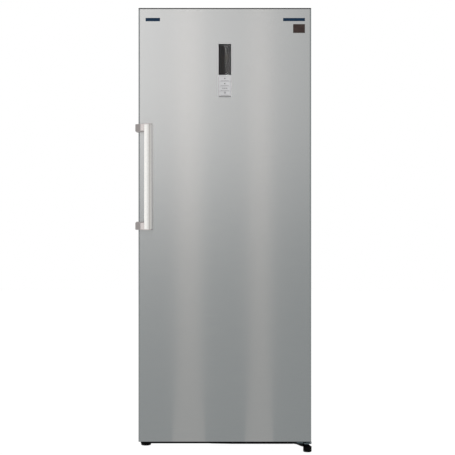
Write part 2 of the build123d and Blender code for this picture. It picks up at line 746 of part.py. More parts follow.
# One steel floor: a front deck, a wall and roof round the machine bay, and the bay's own floor,
# with the ears that hold the rollers' axles.
def base_pan(lines):
    deck_front = FRONT + CABINET_EDGE_RADIUS
    deck = centred(INNER_SIDE, deck_front, BAY_FRONT, BASE_HEIGHT, BASE_TOP)
    lip = block(
        -INNER_SIDE,
        PIN_X - BOTTOM_HINGE_WIDTH,
        FRONT + PLINTH_THICKNESS,
        FRONT + PLINTH_THICKNESS + BASE_SHEET,
        CABINET_BOTTOM + 4,
        BASE_TOP,
    )
    wall = centred(INNER_SIDE, BAY_FRONT - BASE_SHEET, BAY_FRONT, BAY_FLOOR - BASE_SHEET, BAY_TOP)
    roof = centred(INNER_SIDE, BAY_FRONT, BACK, BAY_TOP - BASE_SHEET, BAY_TOP)
    floor = centred(
        INNER_SIDE, BAY_FRONT, BACK - 2 * CABINET_SHEET, BAY_FLOOR - BASE_SHEET, BAY_FLOOR
    )
    pan = joined([deck, lip, wall, roof, floor])
    reach = ROLLER_WIDTH / 2 + SLIDE_GAP
    for side in (-1, 1):
        for edge in (-1, 1):
            near, far = sorted([edge * reach, edge * (reach + EAR_SHEET)])
            pan = pan + block(
                roller_x(side) + near,
                roller_x(side) + far,
                roller_y() - 9,
                roller_y() + 9,
                ROLLER_RADIUS - 7,
                BAY_FLOOR - BASE_SHEET,
            )
        pan = pan - crosswise(
            roller_x(side) - 2 * reach, roller_x(side) + 2 * reach, roller_y(), ROLLER_RADIUS, AXLE_RADIUS
        )
    pan = pan - left_foot_hole() - drain_hose(True)
    for line in lines:
        pan = pan - line
    return pan


# The space the liner takes in the foam, drawn in by an inset; the front face stays on the cabinet's
# front. The hump is the step over the machine bay.
def liner_block(inset):
    side = LINER_SIDE + LINER_WALL - inset
    bottom = LINER_FLOOR - LINER_WALL + inset
    top = LINER_TOP + LINER_WALL - inset
    back = LINER_BACK + LINER_WALL - inset
    tub = centred(side, FRONT, back, bottom, top)
    tub = fillet(tub.edges().filter_by(Axis.Y), LINER_RADIUS - inset)
    hump_front = HUMP_FRONT + LINER_WALL - inset
    hump_top = HUMP_TOP - LINER_WALL + inset
    return tub - centred(side + 1, hump_front, back + 1, bottom - 1, hump_top)


# Pairs of ribs that carry the shelves and the drawers' lips.
def rib_tops():
    tops = [shelf_level(index) for index in range(SHELF_COUNT)]
    for bottom in (LOWER_DRAWER_BOTTOM, UPPER_DRAWER_BOTTOM):
        tops.append(bottom + DRAWER_HEIGHT - DRAWER_WALL - SLIDE_GAP)
    return tops


def inner_liner(lines):
    flange = centred(FRAME_SIDE, FRONT, FRONT + LINER_WALL, FRAME_BOTTOM, FRAME_TOP)
    liner = flange + liner_block(0) - liner_block(LINER_WALL)
    opening = centred(LINER_SIDE, FRONT - 1, FRONT + LINER_WALL, LINER_FLOOR, LINER_TOP)
    liner = liner - fillet(opening.edges().filter_by(Axis.Y), LINER_RADIUS - LINER_WALL)
    for top in rib_tops():
        back = HUMP_FRONT - 2 if top < HUMP_TOP else SHELF_BACK - TRIM_GRIP - 2
        for side in (-1, 1):
            near, far = sorted([side * (LINER_SIDE - RIB_WIDTH), side * (LINER_SIDE + LINER_WALL / 2)])
            liner = liner + block(near, far, FRONT + RIB_FRONT, back, top - RIB_HEIGHT, top)
    liner = liner - drain_hose(True)
    for line in lines:
        liner = liner - line
    return liner


def insulation_foam(lines, others):
    foam = raised(cabinet_outline(CABINET_SHEET), BASE_TOP, INNER_TOP)
    foam = foam - centred(SIDE, BACK - CABINET_SHEET, BACK + 1, BASE_TOP, CABINET_TOP)
    foam = foam - centred(SIDE, FRONT - 1, FRONT + CABINET_SHEET, BASE_TOP, CABINET_TOP)
    foam = foam - centred(SIDE, BAY_FRONT - BASE_SHEET, BACK + 1, BASE_TOP - 1, BAY_TOP)
    foam = foam - centred(FRAME_SIDE, FRONT - 1, FRONT + LINER_WALL, FRAME_BOTTOM, FRAME_TOP)
    foam = foam - liner_block(0) - left_foot_room() - drain_hose(True)
    for line in lines:
        foam = foam - line
    for other in others:
        foam = foam - other
    return foam


# The kick strip ends where the bottom hinge begins, and its lower edge is eased.
def front_plinth():
    strip = block(
        -INNER_SIDE,
        PIN_X - BOTTOM_HINGE_WIDTH,
        FRONT,
        FRONT + PLINTH_THICKNESS,
        CABINET_BOTTOM,
        BASE_HEIGHT,
    )
    strip = strip - centred(
        SIDE,
        FRONT + PLINTH_WALL,
        FRONT + PLINTH_THICKNESS - PLINTH_WALL,
        CABINET_BOTTOM + PLINTH_WALL,
        BASE_HEIGHT + 1,
    )
    low = strip.edges().filter_by(Axis.X).sort_by(Axis.Z)[:2]
    return fillet(low, 1.5) + block(
        -INNER_SIDE,
        PIN_X - BOTTOM_HINGE_WIDTH,
        FRONT + CABINET_EDGE_RADIUS,
        FRONT + PLINTH_THICKNESS,
        BASE_HEIGHT - PLINTH_WALL,
        BASE_HEIGHT,
    )


def top_screw_places():
    left = PIN_X - TOP_HINGE_WIDTH + 22
    return [
        (left, FRONT + 14),
        (PIN_X - 6, FRONT + 20),
        (left + 24, FRONT + TOP_HINGE_LENGTH - 12),
    ]


# Plate on the cabinet's top with a round-ended arm forward to the pin.
def top_hinge():
    low = CABINET_TOP
    high = low + TOP_HINGE_SHEET
    right = PIN_X + 8
    plate = block(right - TOP_HINGE_WIDTH, right, FRONT + 2, FRONT + TOP_HINGE_LENGTH, low, high)
    plate = fillet(plate.edges().filter_by(Axis.Z), 6)
    arm = block(PIN_X - ARM_HALF_WIDTH, right, PIN_Y, FRONT + 20, low, high)
    end = upright(PIN_X, PIN_Y, low, high, ARM_HALF_WIDTH)
    pin = upright(PIN_X, PIN_Y, low - PIN_LENGTH, high, PIN_RADIUS)
    tip = pin.faces().sort_by(Axis.Z)[0].edges()
    hinge = plate + arm + end + chamfer(tip, 1)
    for x, y in top_screw_places():
        hinge = hinge - upright(x, y, CABINET_TOP - 1, CABINET_TOP + 9, HINGE_SCREW_RADIUS)
    return hinge


def top_hinge_cover():
    x0 = PIN_X - TOP_HINGE_WIDTH
    top = CABINET_TOP + COVER_HEIGHT
    y0 = FRONT - 2
    y1 = FRONT + COVER_LENGTH
    outer = block(x0, SIDE, y0, y1, CABINET_TOP, top)
    outer = fillet(outer.edges().filter_by(Axis.Z), 8)
    outer = fillet(outer.faces().sort_by(Axis.Z)[-1].edges(), 3)
    hollow = block(
        x0 + COVER_WALL,
        SIDE - COVER_WALL,
        y0 + COVER_WALL,
        y1 - COVER_WALL,
        CABINET_TOP - 1,
        top - COVER_WALL,
    )
    hollow = fillet(hollow.edges().filter_by(Axis.Z), 6)
    slot_top = CABINET_TOP + TOP_HINGE_SHEET + 1
    slot = block(PIN_X - ARM_HALF_WIDTH - 1, PIN_X + 9, y0 - 1, FRONT + 4, CABINET_TOP - 1, slot_top)
    return outer - hollow - slot


def bottom_screw_places():
    left = PIN_X - BOTTOM_HINGE_WIDTH
    return [(left + 18, FRONT + 22), (left + 50, FRONT + 22), (left + 34, FRONT + 50)]


# Stepped bracket under the cabinet: ear, folded flange that slopes down to the foot, and the lower pin.
def bottom_hinge():
    x0 = PIN_X - BOTTOM_HINGE_WIDTH + 2
    x1 = PIN_X + EAR_REACH
    inner = SIDE - CABINET_SHEET - 1
    rear = FRONT + BOTTOM_HINGE_LENGTH
    under = BASE_HEIGHT - EAR_THICKNESS
    ear = block(x0 + 16, x1, PIN_Y, FRONT + 8, EAR_BOTTOM, EAR_TOP)
    ear = ear + upright(PIN_X, PIN_Y, EAR_BOTTOM, EAR_TOP, EAR_REACH)
    clip = block(inner, x1 + 1, FRONT - 1, FRONT + 9, EAR_BOTTOM - 1, EAR_TOP + 1)
    riser = block(x0 + 16, inner, FRONT + 3, FRONT + 8, EAR_BOTTOM, BASE_HEIGHT)
    shelf = block(x0 + 2, inner, FRONT + 3, rear, under, BASE_HEIGHT)
    slope = Polygon(
        (x0, EAR_TOP),
        (x0, EAR_BOTTOM - 2),
        (x0 + 16, EAR_BOTTOM - 5),
        (PIN_X - 28, EAR_BOTTOM - 12),
        (PIN_X - 19.5, EAR_BOTTOM - 15),
        (PIN_X - 19.5, EAR_TOP),
        align=None,
    )
    flange = extrude(Plane.XZ.offset(-PIN_Y - 9) * slope, amount=EAR_THICKNESS)
    collar = upright(PIN_X, PIN_Y, EAR_TOP, DOOR_BOTTOM - 0.5, PIN_COLLAR_RADIUS)
    pin = upright(PIN_X, PIN_Y, EAR_TOP, DOOR_BOTTOM + PIN_LENGTH, PIN_RADIUS)
    pin = chamfer(pin.faces().sort_by(Axis.Z)[-1].edges(), 1)
    tongue = block(x0, PIN_X - 10, PIN_Y + 3, PIN_Y + 24, EAR_BOTTOM, EAR_TOP)
    skirt = block(PIN_X - 20, PIN_X + 6, PIN_Y + 20, PIN_Y + 24, EAR_BOTTOM - 18, EAR_TOP)
    hinge = joined([ear - clip, riser, shelf, flange, tongue, skirt, collar, pin])
    hinge = hinge - upright(
        PIN_X, PIN_Y, EAR_BOTTOM - 1, DOOR_BOTTOM - 3, FOOT_STEM_RADIUS + RUNNING_GAP
    )
    for x, y in bottom_screw_places():
        hinge = hinge - upright(x, y, under - 1, BASE_HEIGHT + 1, HINGE_SCREW_RADIUS)
    return hinge


def hinge_screws():
    screws = []
    for x, y in top_screw_places():
        seat = CABINET_TOP + TOP_HINGE_SHEET
        head = upright(x, y, seat, seat + SCREW_HEAD_HEIGHT, 2 * HINGE_SCREW_RADIUS)
        screws.append(head + upright(x, y, seat - HINGE_SCREW_LENGTH, seat, HINGE_SCREW_RADIUS))
    for x, y in bottom_screw_places():
        seat = BASE_HEIGHT - EAR_THICKNESS
        head = upright(x, y, seat - SCREW_HEAD_HEIGHT, seat, 2 * HINGE_SCREW_RADIUS)
        screws.append(head + upright(x, y, seat, seat + HINGE_SCREW_LENGTH, HINGE_SCREW_RADIUS))
    return group(screws)


def left_foot_x():
    return -SIDE + LEFT_FOOT_RADIUS - LEFT_FOOT_OUTSET


def left_foot_y():
    return FRONT + LEFT_FOOT_SETBACK


def left_foot_hole():
    return upright(
        left_foot_x(), left_foot_y(), BASE_HEIGHT - 1, BASE_TOP + 1, FOOT_STEM_RADIUS + RUNNING_GAP
    )


def left_foot_room():
    return upright(left_foot_x(), left_foot_y(), BASE_TOP - 1, BASE_TOP + 19, FOOT_STEM_RADIUS + 1)


# A foot with a rounded tread, a collar, a cone and a threaded stem drawn plain.
def foot(x, y, radius, collar, neck, stem_top):
    return turned(
        x,
        y,
        (0, 0),
        (radius - 4, 0),
        (radius - 1, 1.5),
        (radius, 5),
        (radius, FOOT_TREAD),
        (radius + collar, FOOT_TREAD + 3 * collar),
        (radius + collar, FOOT_TREAD + 3 * collar + 1.5),
        (FOOT_STEM_RADIUS + 2, neck),
        (FOOT_STEM_RADIUS, neck),
        (FOOT_STEM_RADIUS, stem_top - 1),
        (FOOT_STEM_RADIUS - 1, stem_top),
        (0, stem_top),
    )


def roller(side):
    x = roller_x(side)
    half = ROLLER_WIDTH / 2
    wheel = crosswise(x - half, x + half, roller_y(), ROLLER_RADIUS, ROLLER_RADIUS)
    wheel = chamfer(wheel.edges().filter_by(GeomType.CIRCLE), 1.5)
    return wheel - crosswise(x - half - 1, x + half + 1, roller_y(), ROLLER_RADIUS, AXLE_RADIUS + RUNNING_GAP)


def roller_axles():
    reach = ROLLER_WIDTH / 2 + SLIDE_GAP + EAR_SHEET
    axles = []
    for side in (-1, 1):
        x = roller_x(side)
        axle = crosswise(x - reach, x + reach, roller_y(), ROLLER_RADIUS, AXLE_RADIUS)
        axles.append(axle + crosswise(x + reach, x + reach + 2, roller_y(), ROLLER_RADIUS, AXLE_RADIUS + 2))
    return group(axles)


def shelf_glass(index):
    level = shelf_level(index)
    y0 = FRONT + SHELF_FRONT
    y1 = SHELF_BACK
    glass = centred(LINER_SIDE - SHELF_SIDE_GAP, y0, y1, level, level + GLASS_THICKNESS)
    return fillet(glass.edges().filter_by(Axis.Z), 6)


# The front and rear trims grip the glass from above and below.
def shelf_trims(glasses):
    trims = []
    for index in range(SHELF_COUNT):
        level = shelf_level(index)
        for y0, y1 in (
            (FRONT + SHELF_FRONT - TRIM_DEPTH + TRIM_GRIP, FRONT + SHELF_FRONT + TRIM_GRIP),
            (SHELF_BACK - TRIM_GRIP, SHELF_BACK + SHELF_BACK_GAP - 2),
        ):
            trim = centred(
                LINER_SIDE - SHELF_SIDE_GAP, y0, y1, level - 3, level + GLASS_THICKNESS + 4
            )
            trim = fillet(trim.edges().filter_by(Axis.X), 2)
            trims.append(trim - glasses[index])
    return group(trims)


# An open box with side lips that ride on the ribs, and a finger slot in its front.
def drawer(bottom, depth):
    top = bottom + DRAWER_HEIGHT
    half = LINER_SIDE - DRAWER_SIDE_GAP
    y0 = DRAWER_FACE
    y1 = y0 + depth
    outer = centred(half, y0, y1, bottom, top)
    outer = fillet(outer.edges().filter_by(Axis.Z), 8)
    inner = centred(half - DRAWER_WALL, y0 + DRAWER_WALL, y1 - DRAWER_WALL, bottom + DRAWER_WALL, top + 1)
    inner = fillet(inner.edges().filter_by(Axis.Z), 8 - DRAWER_WALL)
    lips = centred(half + DRAWER_LIP, y0 + 34, y1 - 12, top - DRAWER_WALL, top)
    slot = centred(80, y0 - 1, y0 + DRAWER_WALL + 1, top - 46, top - 22)
    slot = fillet(slot.edges().filter_by(Axis.Y), 11)
    return outer + lips - inner - slot


# A door bin: an open box with a low back, and a tab at each end that sits on a lug.
def door_bin(index):
    bottom = bin_bottom(index)
    top = bottom + BIN_HEIGHT
    y0 = DOOR_BACK + 2
    y1 = y0 + BIN_DEPTH
    outer = centred(BIN_SIDE, y0, y1, bottom, top)
    rounded = outer.edges().filter_by(Axis.Z).sort_by(Axis.Y)[2:]
    outer = fillet(rounded, 14)
    inner = centred(BIN_SIDE - BIN_WALL, y0 + BIN_WALL, y1 - BIN_WALL, bottom + BIN_WALL, top + 1)
    rounded = inner.edges().filter_by(Axis.Z).sort_by(Axis.Y)[2:]
    inner = fillet(rounded, 14 - BIN_WALL)
    tab_low = lug_level(index) + SLIDE_GAP
    tabs = centred(
        BIN_SIDE + BIN_SIDE_GAP - 1,
        DOOR_BACK + BIN_DEPTH * 0.2 + 2,
        DOOR_BACK + DYKE_DEPTH - 10,
        tab_low,
        tab_low + 6,
    )
    return outer + tabs - inner


def led_lamp():
    front = FRONT + LAMP_SETBACK
    lamp = centred(LAMP_WIDTH / 2, front, front + LAMP_DEPTH, LINER_TOP - LAMP_DROP, LINER_TOP)
    return fillet(lamp.faces().sort_by(Axis.Z)[0].edges(), 3)


# White panel in front of the cooling coil, with rows of slots over each shelf and a round fan mouth.
def air_duct_panel():
    half = DUCT_WIDTH / 2
    outer = centred(half, DUCT_FRONT, LINER_BACK, DUCT_BOTTOM, DUCT_TOP)
    outer = fillet(outer.edges().filter_by(Axis.Z).sort_by(Axis.Y)[:2], 6)
    inner = centred(
        half - DUCT_WALL, DUCT_FRONT + DUCT_WALL, LINER_BACK + 1, DUCT_BOTTOM - 1, DUCT_TOP - DUCT_WALL
    )
    panel = outer - inner
    for index in range(1, SHELF_COUNT):
        low = shelf_level(index) + 110
        for row in range(VENT_COUNT):
            for x in (-1, 1):
                middle = x * half * 0.62
                z = low + row * 2.4 * VENT_HEIGHT
                panel = panel - block(
                    middle - VENT_WIDTH / 2,
                    middle + VENT_WIDTH / 2,
                    DUCT_FRONT - 1,
                    DUCT_FRONT + DUCT_WALL + 1,
                    z,
                    z + VENT_HEIGHT,
                )
    for ring in range(4):
        outer_radius = FAN_RADIUS - ring * 10
        slot = lengthwise(0, DUCT_FRONT - 1, DUCT_FRONT + DUCT_WALL + 1, FAN_HEIGHT, outer_radius)
        slot = slot - lengthwise(0, DUCT_FRONT - 2, DUCT_FRONT + 9, FAN_HEIGHT, outer_radius - 6)
        slot = slot - centred(2.5, DUCT_FRONT - 2, DUCT_FRONT + 9, FAN_HEIGHT - 60, FAN_HEIGHT + 60)
        slot = slot - centred(60, DUCT_FRONT - 2, DUCT_FRONT + 9, FAN_HEIGHT - 2.5, FAN_HEIGHT + 2.5)
        panel = panel - slot
    return panel


def coil_middle():
    return LINER_BACK - 6 - COIL_DEPTH / 2


# Finned coil: rows of tube bent back and forth through thin fins, between two end plates.
def evaporator():
    pitch = COIL_HEIGHT / COIL_RUNS
    half = COIL_WIDTH / 2
    points = []
    for run in range(COIL_RUNS):
        z = COIL_BOTTOM + pitch * (run + 0.5)
        ends = (-half, half) if run % 2 == 0 else (half, -half)
        points.append((ends[0], coil_middle(), z))
        points.append((ends[1], coil_middle(), z))
    tube = bent_rod(points, COIL_TUBE_RADIUS, pitch / 2 - 0.5)
    y0 = coil_middle() - COIL_DEPTH / 2
    y1 = coil_middle() + COIL_DEPTH / 2
    inner = half - pitch / 2 - 4
    fins = []
    for index in range(COIL_FINS):
        x = -inner + 2 * inner * index / (COIL_FINS - 1)
        fins.append(block(x - 0.4, x + 0.4, y0, y1, COIL_BOTTOM, COIL_BOTTOM + COIL_HEIGHT))
    return tube + fins


# Heating rod in a flat U under the coil.
def defrost_heater():
    z = COIL_BOTTOM - 22
    half = COIL_WIDTH / 2 - 8
    points = [
        (-half, coil_middle(), z + 16),
        (-half, coil_middle(), z),
        (half, coil_middle(), z),
        (half, coil_middle(), z + 16),
    ]
    return bent_rod(points, HEATER_RADIUS, 10)


def blade_middle():
    return DUCT_FRONT + DUCT_WALL + 15


# Motor on three legs from the liner's back wall, with its shaft forward into the hub.
def fan_motor():
    face = blade_middle() + 11
    body = lengthwise(0, face, LINER_BACK - 8, FAN_HEIGHT, 19)
    body = chamfer(body.faces().sort_by(Axis.Y)[0].edges(), 2)
    shaft = lengthwise(0, blade_middle() - 6, face + 1, FAN_HEIGHT, FAN_SHAFT_RADIUS)
    legs = []
    for index in range(3):
        turn = Pos(0, 0, FAN_HEIGHT) * Rot(0, 90 + index * 120, 0)
        legs.append(turn * block(15, 44, LINER_BACK - 12, LINER_BACK - 8, -5, 5))
        legs.append(turn * block(38, 44, LINER_BACK - 8.5, LINER_BACK, -5, 5))
    return joined([body, shaft] + legs)


def fan_blade():
    y = blade_middle()
    hub = lengthwise(0, y - 9, y + 9, FAN_HEIGHT, FAN_HUB_RADIUS)
    hub = fillet(hub.faces().sort_by(Axis.Y)[0].edges(), 3)
    span = FAN_RADIUS - FAN_HUB_RADIUS - 1
    blade = Box(span, 1.6, 24)
    blade = Pos(FAN_HUB_RADIUS - 3 + span / 2, 0, 0) * Rot(32, 0, 0) * blade
    whole = hub
    for index in range(FAN_BLADES):
        whole = whole + Pos(0, y, FAN_HEIGHT) * Rot(0, index * 360 / FAN_BLADES, 0) * blade
    return whole - lengthwise(0, y - 7, y + 10, FAN_HEIGHT, FAN_SHAFT_RADIUS + RUNNING_GAP)


# Meltwater hose from the coil's space down through the foam to the pan.
def drain_hose(filled):
    x = 140.0
    y = LINER_BACK + LINER_WALL + 26
    points = [
        (x, LINER_BACK - 14, DUCT_BOTTOM - 4),
        (x, y, DUCT_BOTTOM - 4),
        (x, y, pan_bottom() + 14),
    ]
    hose = bent_rod(points, HOSE_RADIUS, 14)
    return hose if filled else hose - bent_rod(points, HOSE_BORE_RADIUS, 14)


def compressor_x():
    return SIDE * 0.48


def compressor_y():
    return BAY_FRONT + BAY_DEPTH / 2


def compressor_bottom():
    return BAY_FLOOR + MOUNT_HEIGHT + 3


def mount_places():
    return [
        (compressor_x() + x * (COMPRESSOR_RADIUS + 12), compressor_y() + y * (COMPRESSOR_RADIUS - 10))
        for x in (-1, 1)
        for y in (-1, 1)
    ]


# Welded steel shell with domed ends and a flat foot plate.
def compressor():
    low = compressor_bottom()
    high = low + COMPRESSOR_HEIGHT
    r = COMPRESSOR_RADIUS
    shell = turned(
        compressor_x(),
        compressor_y(),
        (0, low),
        (r - 30, low),
        (r - 8, low + 14),
        (r - 2, low + 34),
        (r - 2, low + 88),
        (r + 1, low + 89),
        (r + 1, low + 95),
        (r - 2, low + 96),
        (r - 3, high - 42),
        (r - 14, high - 18),
        (r - 34, high - 4),
        (0, high),
    )
    plate = block(
        compressor_x() - r - 22,
        compressor_x() + r + 22,
        compressor_y() - r,
        compressor_y() + r,
        low - 3,
        low,
    )
    plate = fillet(plate.edges().filter_by(Axis.Z), 10)
    for x, y in mount_places():
        plate = plate - upright(x, y, low - 4, low + 1, 6)
    return shell + plate


def compressor_mounts():
    low = compressor_bottom()
    mounts = []
    for x, y in mount_places():
        mounts.append(
            turned(
                x,
                y,
                (0, BAY_FLOOR),
                (11, BAY_FLOOR),
                (11, low - 3),
                (6, low - 3),
                (6, low),
                (8.5, low),
                (7, low + 3),
                (0, low + 3),
            )
        )
    return group(mounts)


# Box over the compressor's electrical terminals, shaped to its side.
def terminal_cover(shell):
    x = compressor_x() - COMPRESSOR_RADIUS
    y = compressor_y()
    low = compressor_bottom() + 24
    box = block(x - 24, x + 24, y - 32, y + 32, low, low + 60)
    box = fillet(box.edges().filter_by(Axis.Z), 5)
    return min((box - shell).solids(), key=lambda solid: solid.center().X)


def pan_bottom():
    return compressor_bottom() + COMPRESSOR_HEIGHT + 2


# Evaporation tray over the compressor, held on the bay's front wall.
def drain_pan():
    low = pan_bottom()
    x0 = compressor_x() - PAN_WIDTH / 2
    x1 = x0 + PAN_WIDTH
    y1 = BACK - 12
    outer = block(x0, x1, BAY_FRONT, y1, low, BAY_TOP - BASE_SHEET - 6)
    outer = fillet(outer.edges().filter_by(Axis.Z).sort_by(Axis.Y)[2:], 8)
    inner = block(
        x0 + PAN_WALL,
        x1 - PAN_WALL,
        BAY_FRONT + PAN_WALL,
        y1 - PAN_WALL,
        low + PAN_WALL,
        BAY_TOP,
    )
    return outer - inner


def coil_line_x(side):
    return side * (INNER_SIDE - LINE_RADIUS - 3)


def coil_end_y(index):
    return BACK - 60 - index * 0.35 * CONDENSER_PITCH


def coil_end_z():
    return BAY_TOP - 30


# Condenser tube foamed into one side wall: runs up and down, with both ends in the machine bay.
def condenser_points(side):
    x = coil_line_x(side)
    low = BAY_TOP + 60
    high = INNER_TOP - 90
    points = [(x, coil_end_y(0), coil_end_z())]
    for run in range(CONDENSER_RUNS):
        y = coil_end_y(0) - run * CONDENSER_PITCH
        ends = (low, high) if run % 2 == 0 else (high, low)
        if run > 0:
            points.append((x, y, ends[0]))
        points.append((x, y, ends[1]))
    points.append((x, coil_end_y(1), low))
    points.append((x, coil_end_y(1), coil_end_z()))
    return points


def drier_x():
    return compressor_x() - COMPRESSOR_RADIUS - 110


def drier_y():
    return BAY_FRONT + 60


def drier_low():
    return compressor_bottom() + 30


def coil_port_z(run):
    return COIL_BOTTOM + COIL_HEIGHT / COIL_RUNS * (run + 0.5)


# Both condensers in turn, the run from the condenser to the drier, the capillary and the suction line.
def refrigerant_line_list(shell):
    rise_y = LINER_BACK + LINER_WALL + 24
    low_z = coil_end_z() - 25
    left, right = coil_line_x(-1), coil_line_x(1)
    port = compressor_bottom() + 110
    suction_z = compressor_bottom() + COMPRESSOR_HEIGHT - 2 * LINE_RADIUS
    coil_left = -COIL_WIDTH / 2
    shell_left = compressor_x() - COMPRESSOR_RADIUS
    shell_right = compressor_x() + COMPRESSOR_RADIUS
    cross = [
        (left, coil_end_y(0), coil_end_z()),
        (left, coil_end_y(0), low_z),
        (left, BACK - 16, low_z),
        (right, BACK - 16, low_z),
        (right, coil_end_y(0), low_z),
        (right, coil_end_y(0), coil_end_z()),
    ]
    discharge = [
        (right, coil_end_y(1), coil_end_z()),
        (right, coil_end_y(1), port + 28),
        (shell_right + 50, compressor_y(), port),
        (shell_right - 20, compressor_y(), port),
    ]
    to_drier = [
        (left, coil_end_y(1), coil_end_z()),
        (left, coil_end_y(1), low_z),
        (drier_x(), drier_y(), low_z),
        (drier_x(), drier_y(), drier_low() + 100),
    ]
    capillary = [
        (drier_x(), drier_y(), drier_low()),
        (drier_x(), drier_y(), drier_low() - 24),
        (coil_left - 32, rise_y, drier_low() - 24),
        (coil_left - 32, rise_y, coil_port_z(COIL_RUNS - 1)),
        (coil_left - 32, coil_middle(), coil_port_z(COIL_RUNS - 1)),
        (coil_left, coil_middle(), coil_port_z(COIL_RUNS - 1)),
    ]
    suction = [
        (coil_left, coil_middle(), coil_port_z(0)),
        (coil_left - 22, coil_middle(), coil_port_z(0)),
        (coil_left - 22, rise_y, coil_port_z(0)),
        (coil_left - 22, rise_y, suction_z),
        (shell_left - 30, rise_y, suction_z),
        (shell_left - 30, rise_y, port - 10),
        (shell_left - 30, compressor_y(), port - 10),
        (shell_left + 20, compressor_y(), port - 10),
    ]
    return [
        bent_rod(condenser_points(-1), LINE_RADIUS, 12),
        bent_rod(condenser_points(1), LINE_RADIUS, 12),
        bent_rod(cross, LINE_RADIUS, 12),
        bent_rod(discharge, LINE_RADIUS, 12) - shell,
        bent_rod(to_drier, LINE_RADIUS, 12),
        bent_rod(capillary, LINE_RADIUS / 2, 10),
        bent_rod(suction, LINE_RADIUS + 0.8, 10) - shell,
    ]


# Copper capsule with coned ends under the upper line.
def filter_drier():
    low = drier_low()
    high = low + 100
    return turned(
        drier_x(),
        drier_y(),
        (0, low),
        (3, low),
        (10, low + 10),
        (10, high - 10),
        (3, high),
        (0, high),
    )


# Main board on stand-offs on the bay's front wall.
def control_board():
    x0 = -SIDE + 40
    y = BAY_FRONT
    z0 = BAY_FLOOR + 30
    board = block(x0, x0 + 130, y + 8, y + 8 + BOARD_THICKNESS, z0, z0 + 100)
    pieces = [board]
    for x in (x0 + 6, x0 + 124):
        for z in (z0 + 6, z0 + 94):
            pieces.append(lengthwise(x, y, y + 8, z, 3))
    front = y + 8 + BOARD_THICKNESS
    pieces.append(block(x0 + 16, x0 + 46, front, front + 26, z0 + 56, z0 + 84))
    pieces.append(block(x0 + 60, x0 + 80, front, front + 16, z0 + 60, z0 + 84))
    pieces.append(block(x0 + 90, x0 + 110, front, front + 16, z0 + 60, z0 + 84))
    pieces.append(block(x0 + 20, x0 + 110, front, front + 12, z0 + 8, z0 + 18))
    pieces.append(lengthwise(x0 + 60, front, front + 24, z0 + 38, 9))
    pieces.append(lengthwise(x0 + 90, front, front + 24, z0 + 38, 9))
    return joined(pieces)


def gland_place():
    return -SIDE + 70, BAY_FLOOR + 50


# Rear cover of the bay, with two banks of slots.
def rear_bay_cover():
    cover = centred(INNER_SIDE, BACK - CABINET_SHEET, BACK, BAY_FLOOR, BAY_TOP - BASE_SHEET)
    slots = []
    for row in range(6):
        for column in range(6):
            x = -SIDE + 190 + column * 74
            z = BAY_FLOOR + 40 + row * 24
            slots.append(block(x, x + 54, BACK - 3, BACK + 1, z, z + 6))
    x, z = gland_place()
    return cover - slots - lengthwise(x, BACK - 3, BACK + 1, z, GLAND_BORE_RADIUS + 3)


# Cord gland: a bored plug with a flange on each side of the cover.
def power_inlet():
    x, z = gland_place()
    outer = GLAND_BORE_RADIUS + 3
    plug = lengthwise(x, BACK - 14, BACK, z, outer)
    inside = lengthwise(x, BACK - CABINET_SHEET - 4, BACK - CABINET_SHEET, z, outer + 4)
    outside = lengthwise(x, BACK, BACK + 0.6, z, outer)
    bore = lengthwise(x, BACK - 15, BACK + 1, z, GLAND_BORE_RADIUS)
    return plug + inside + outside - bore


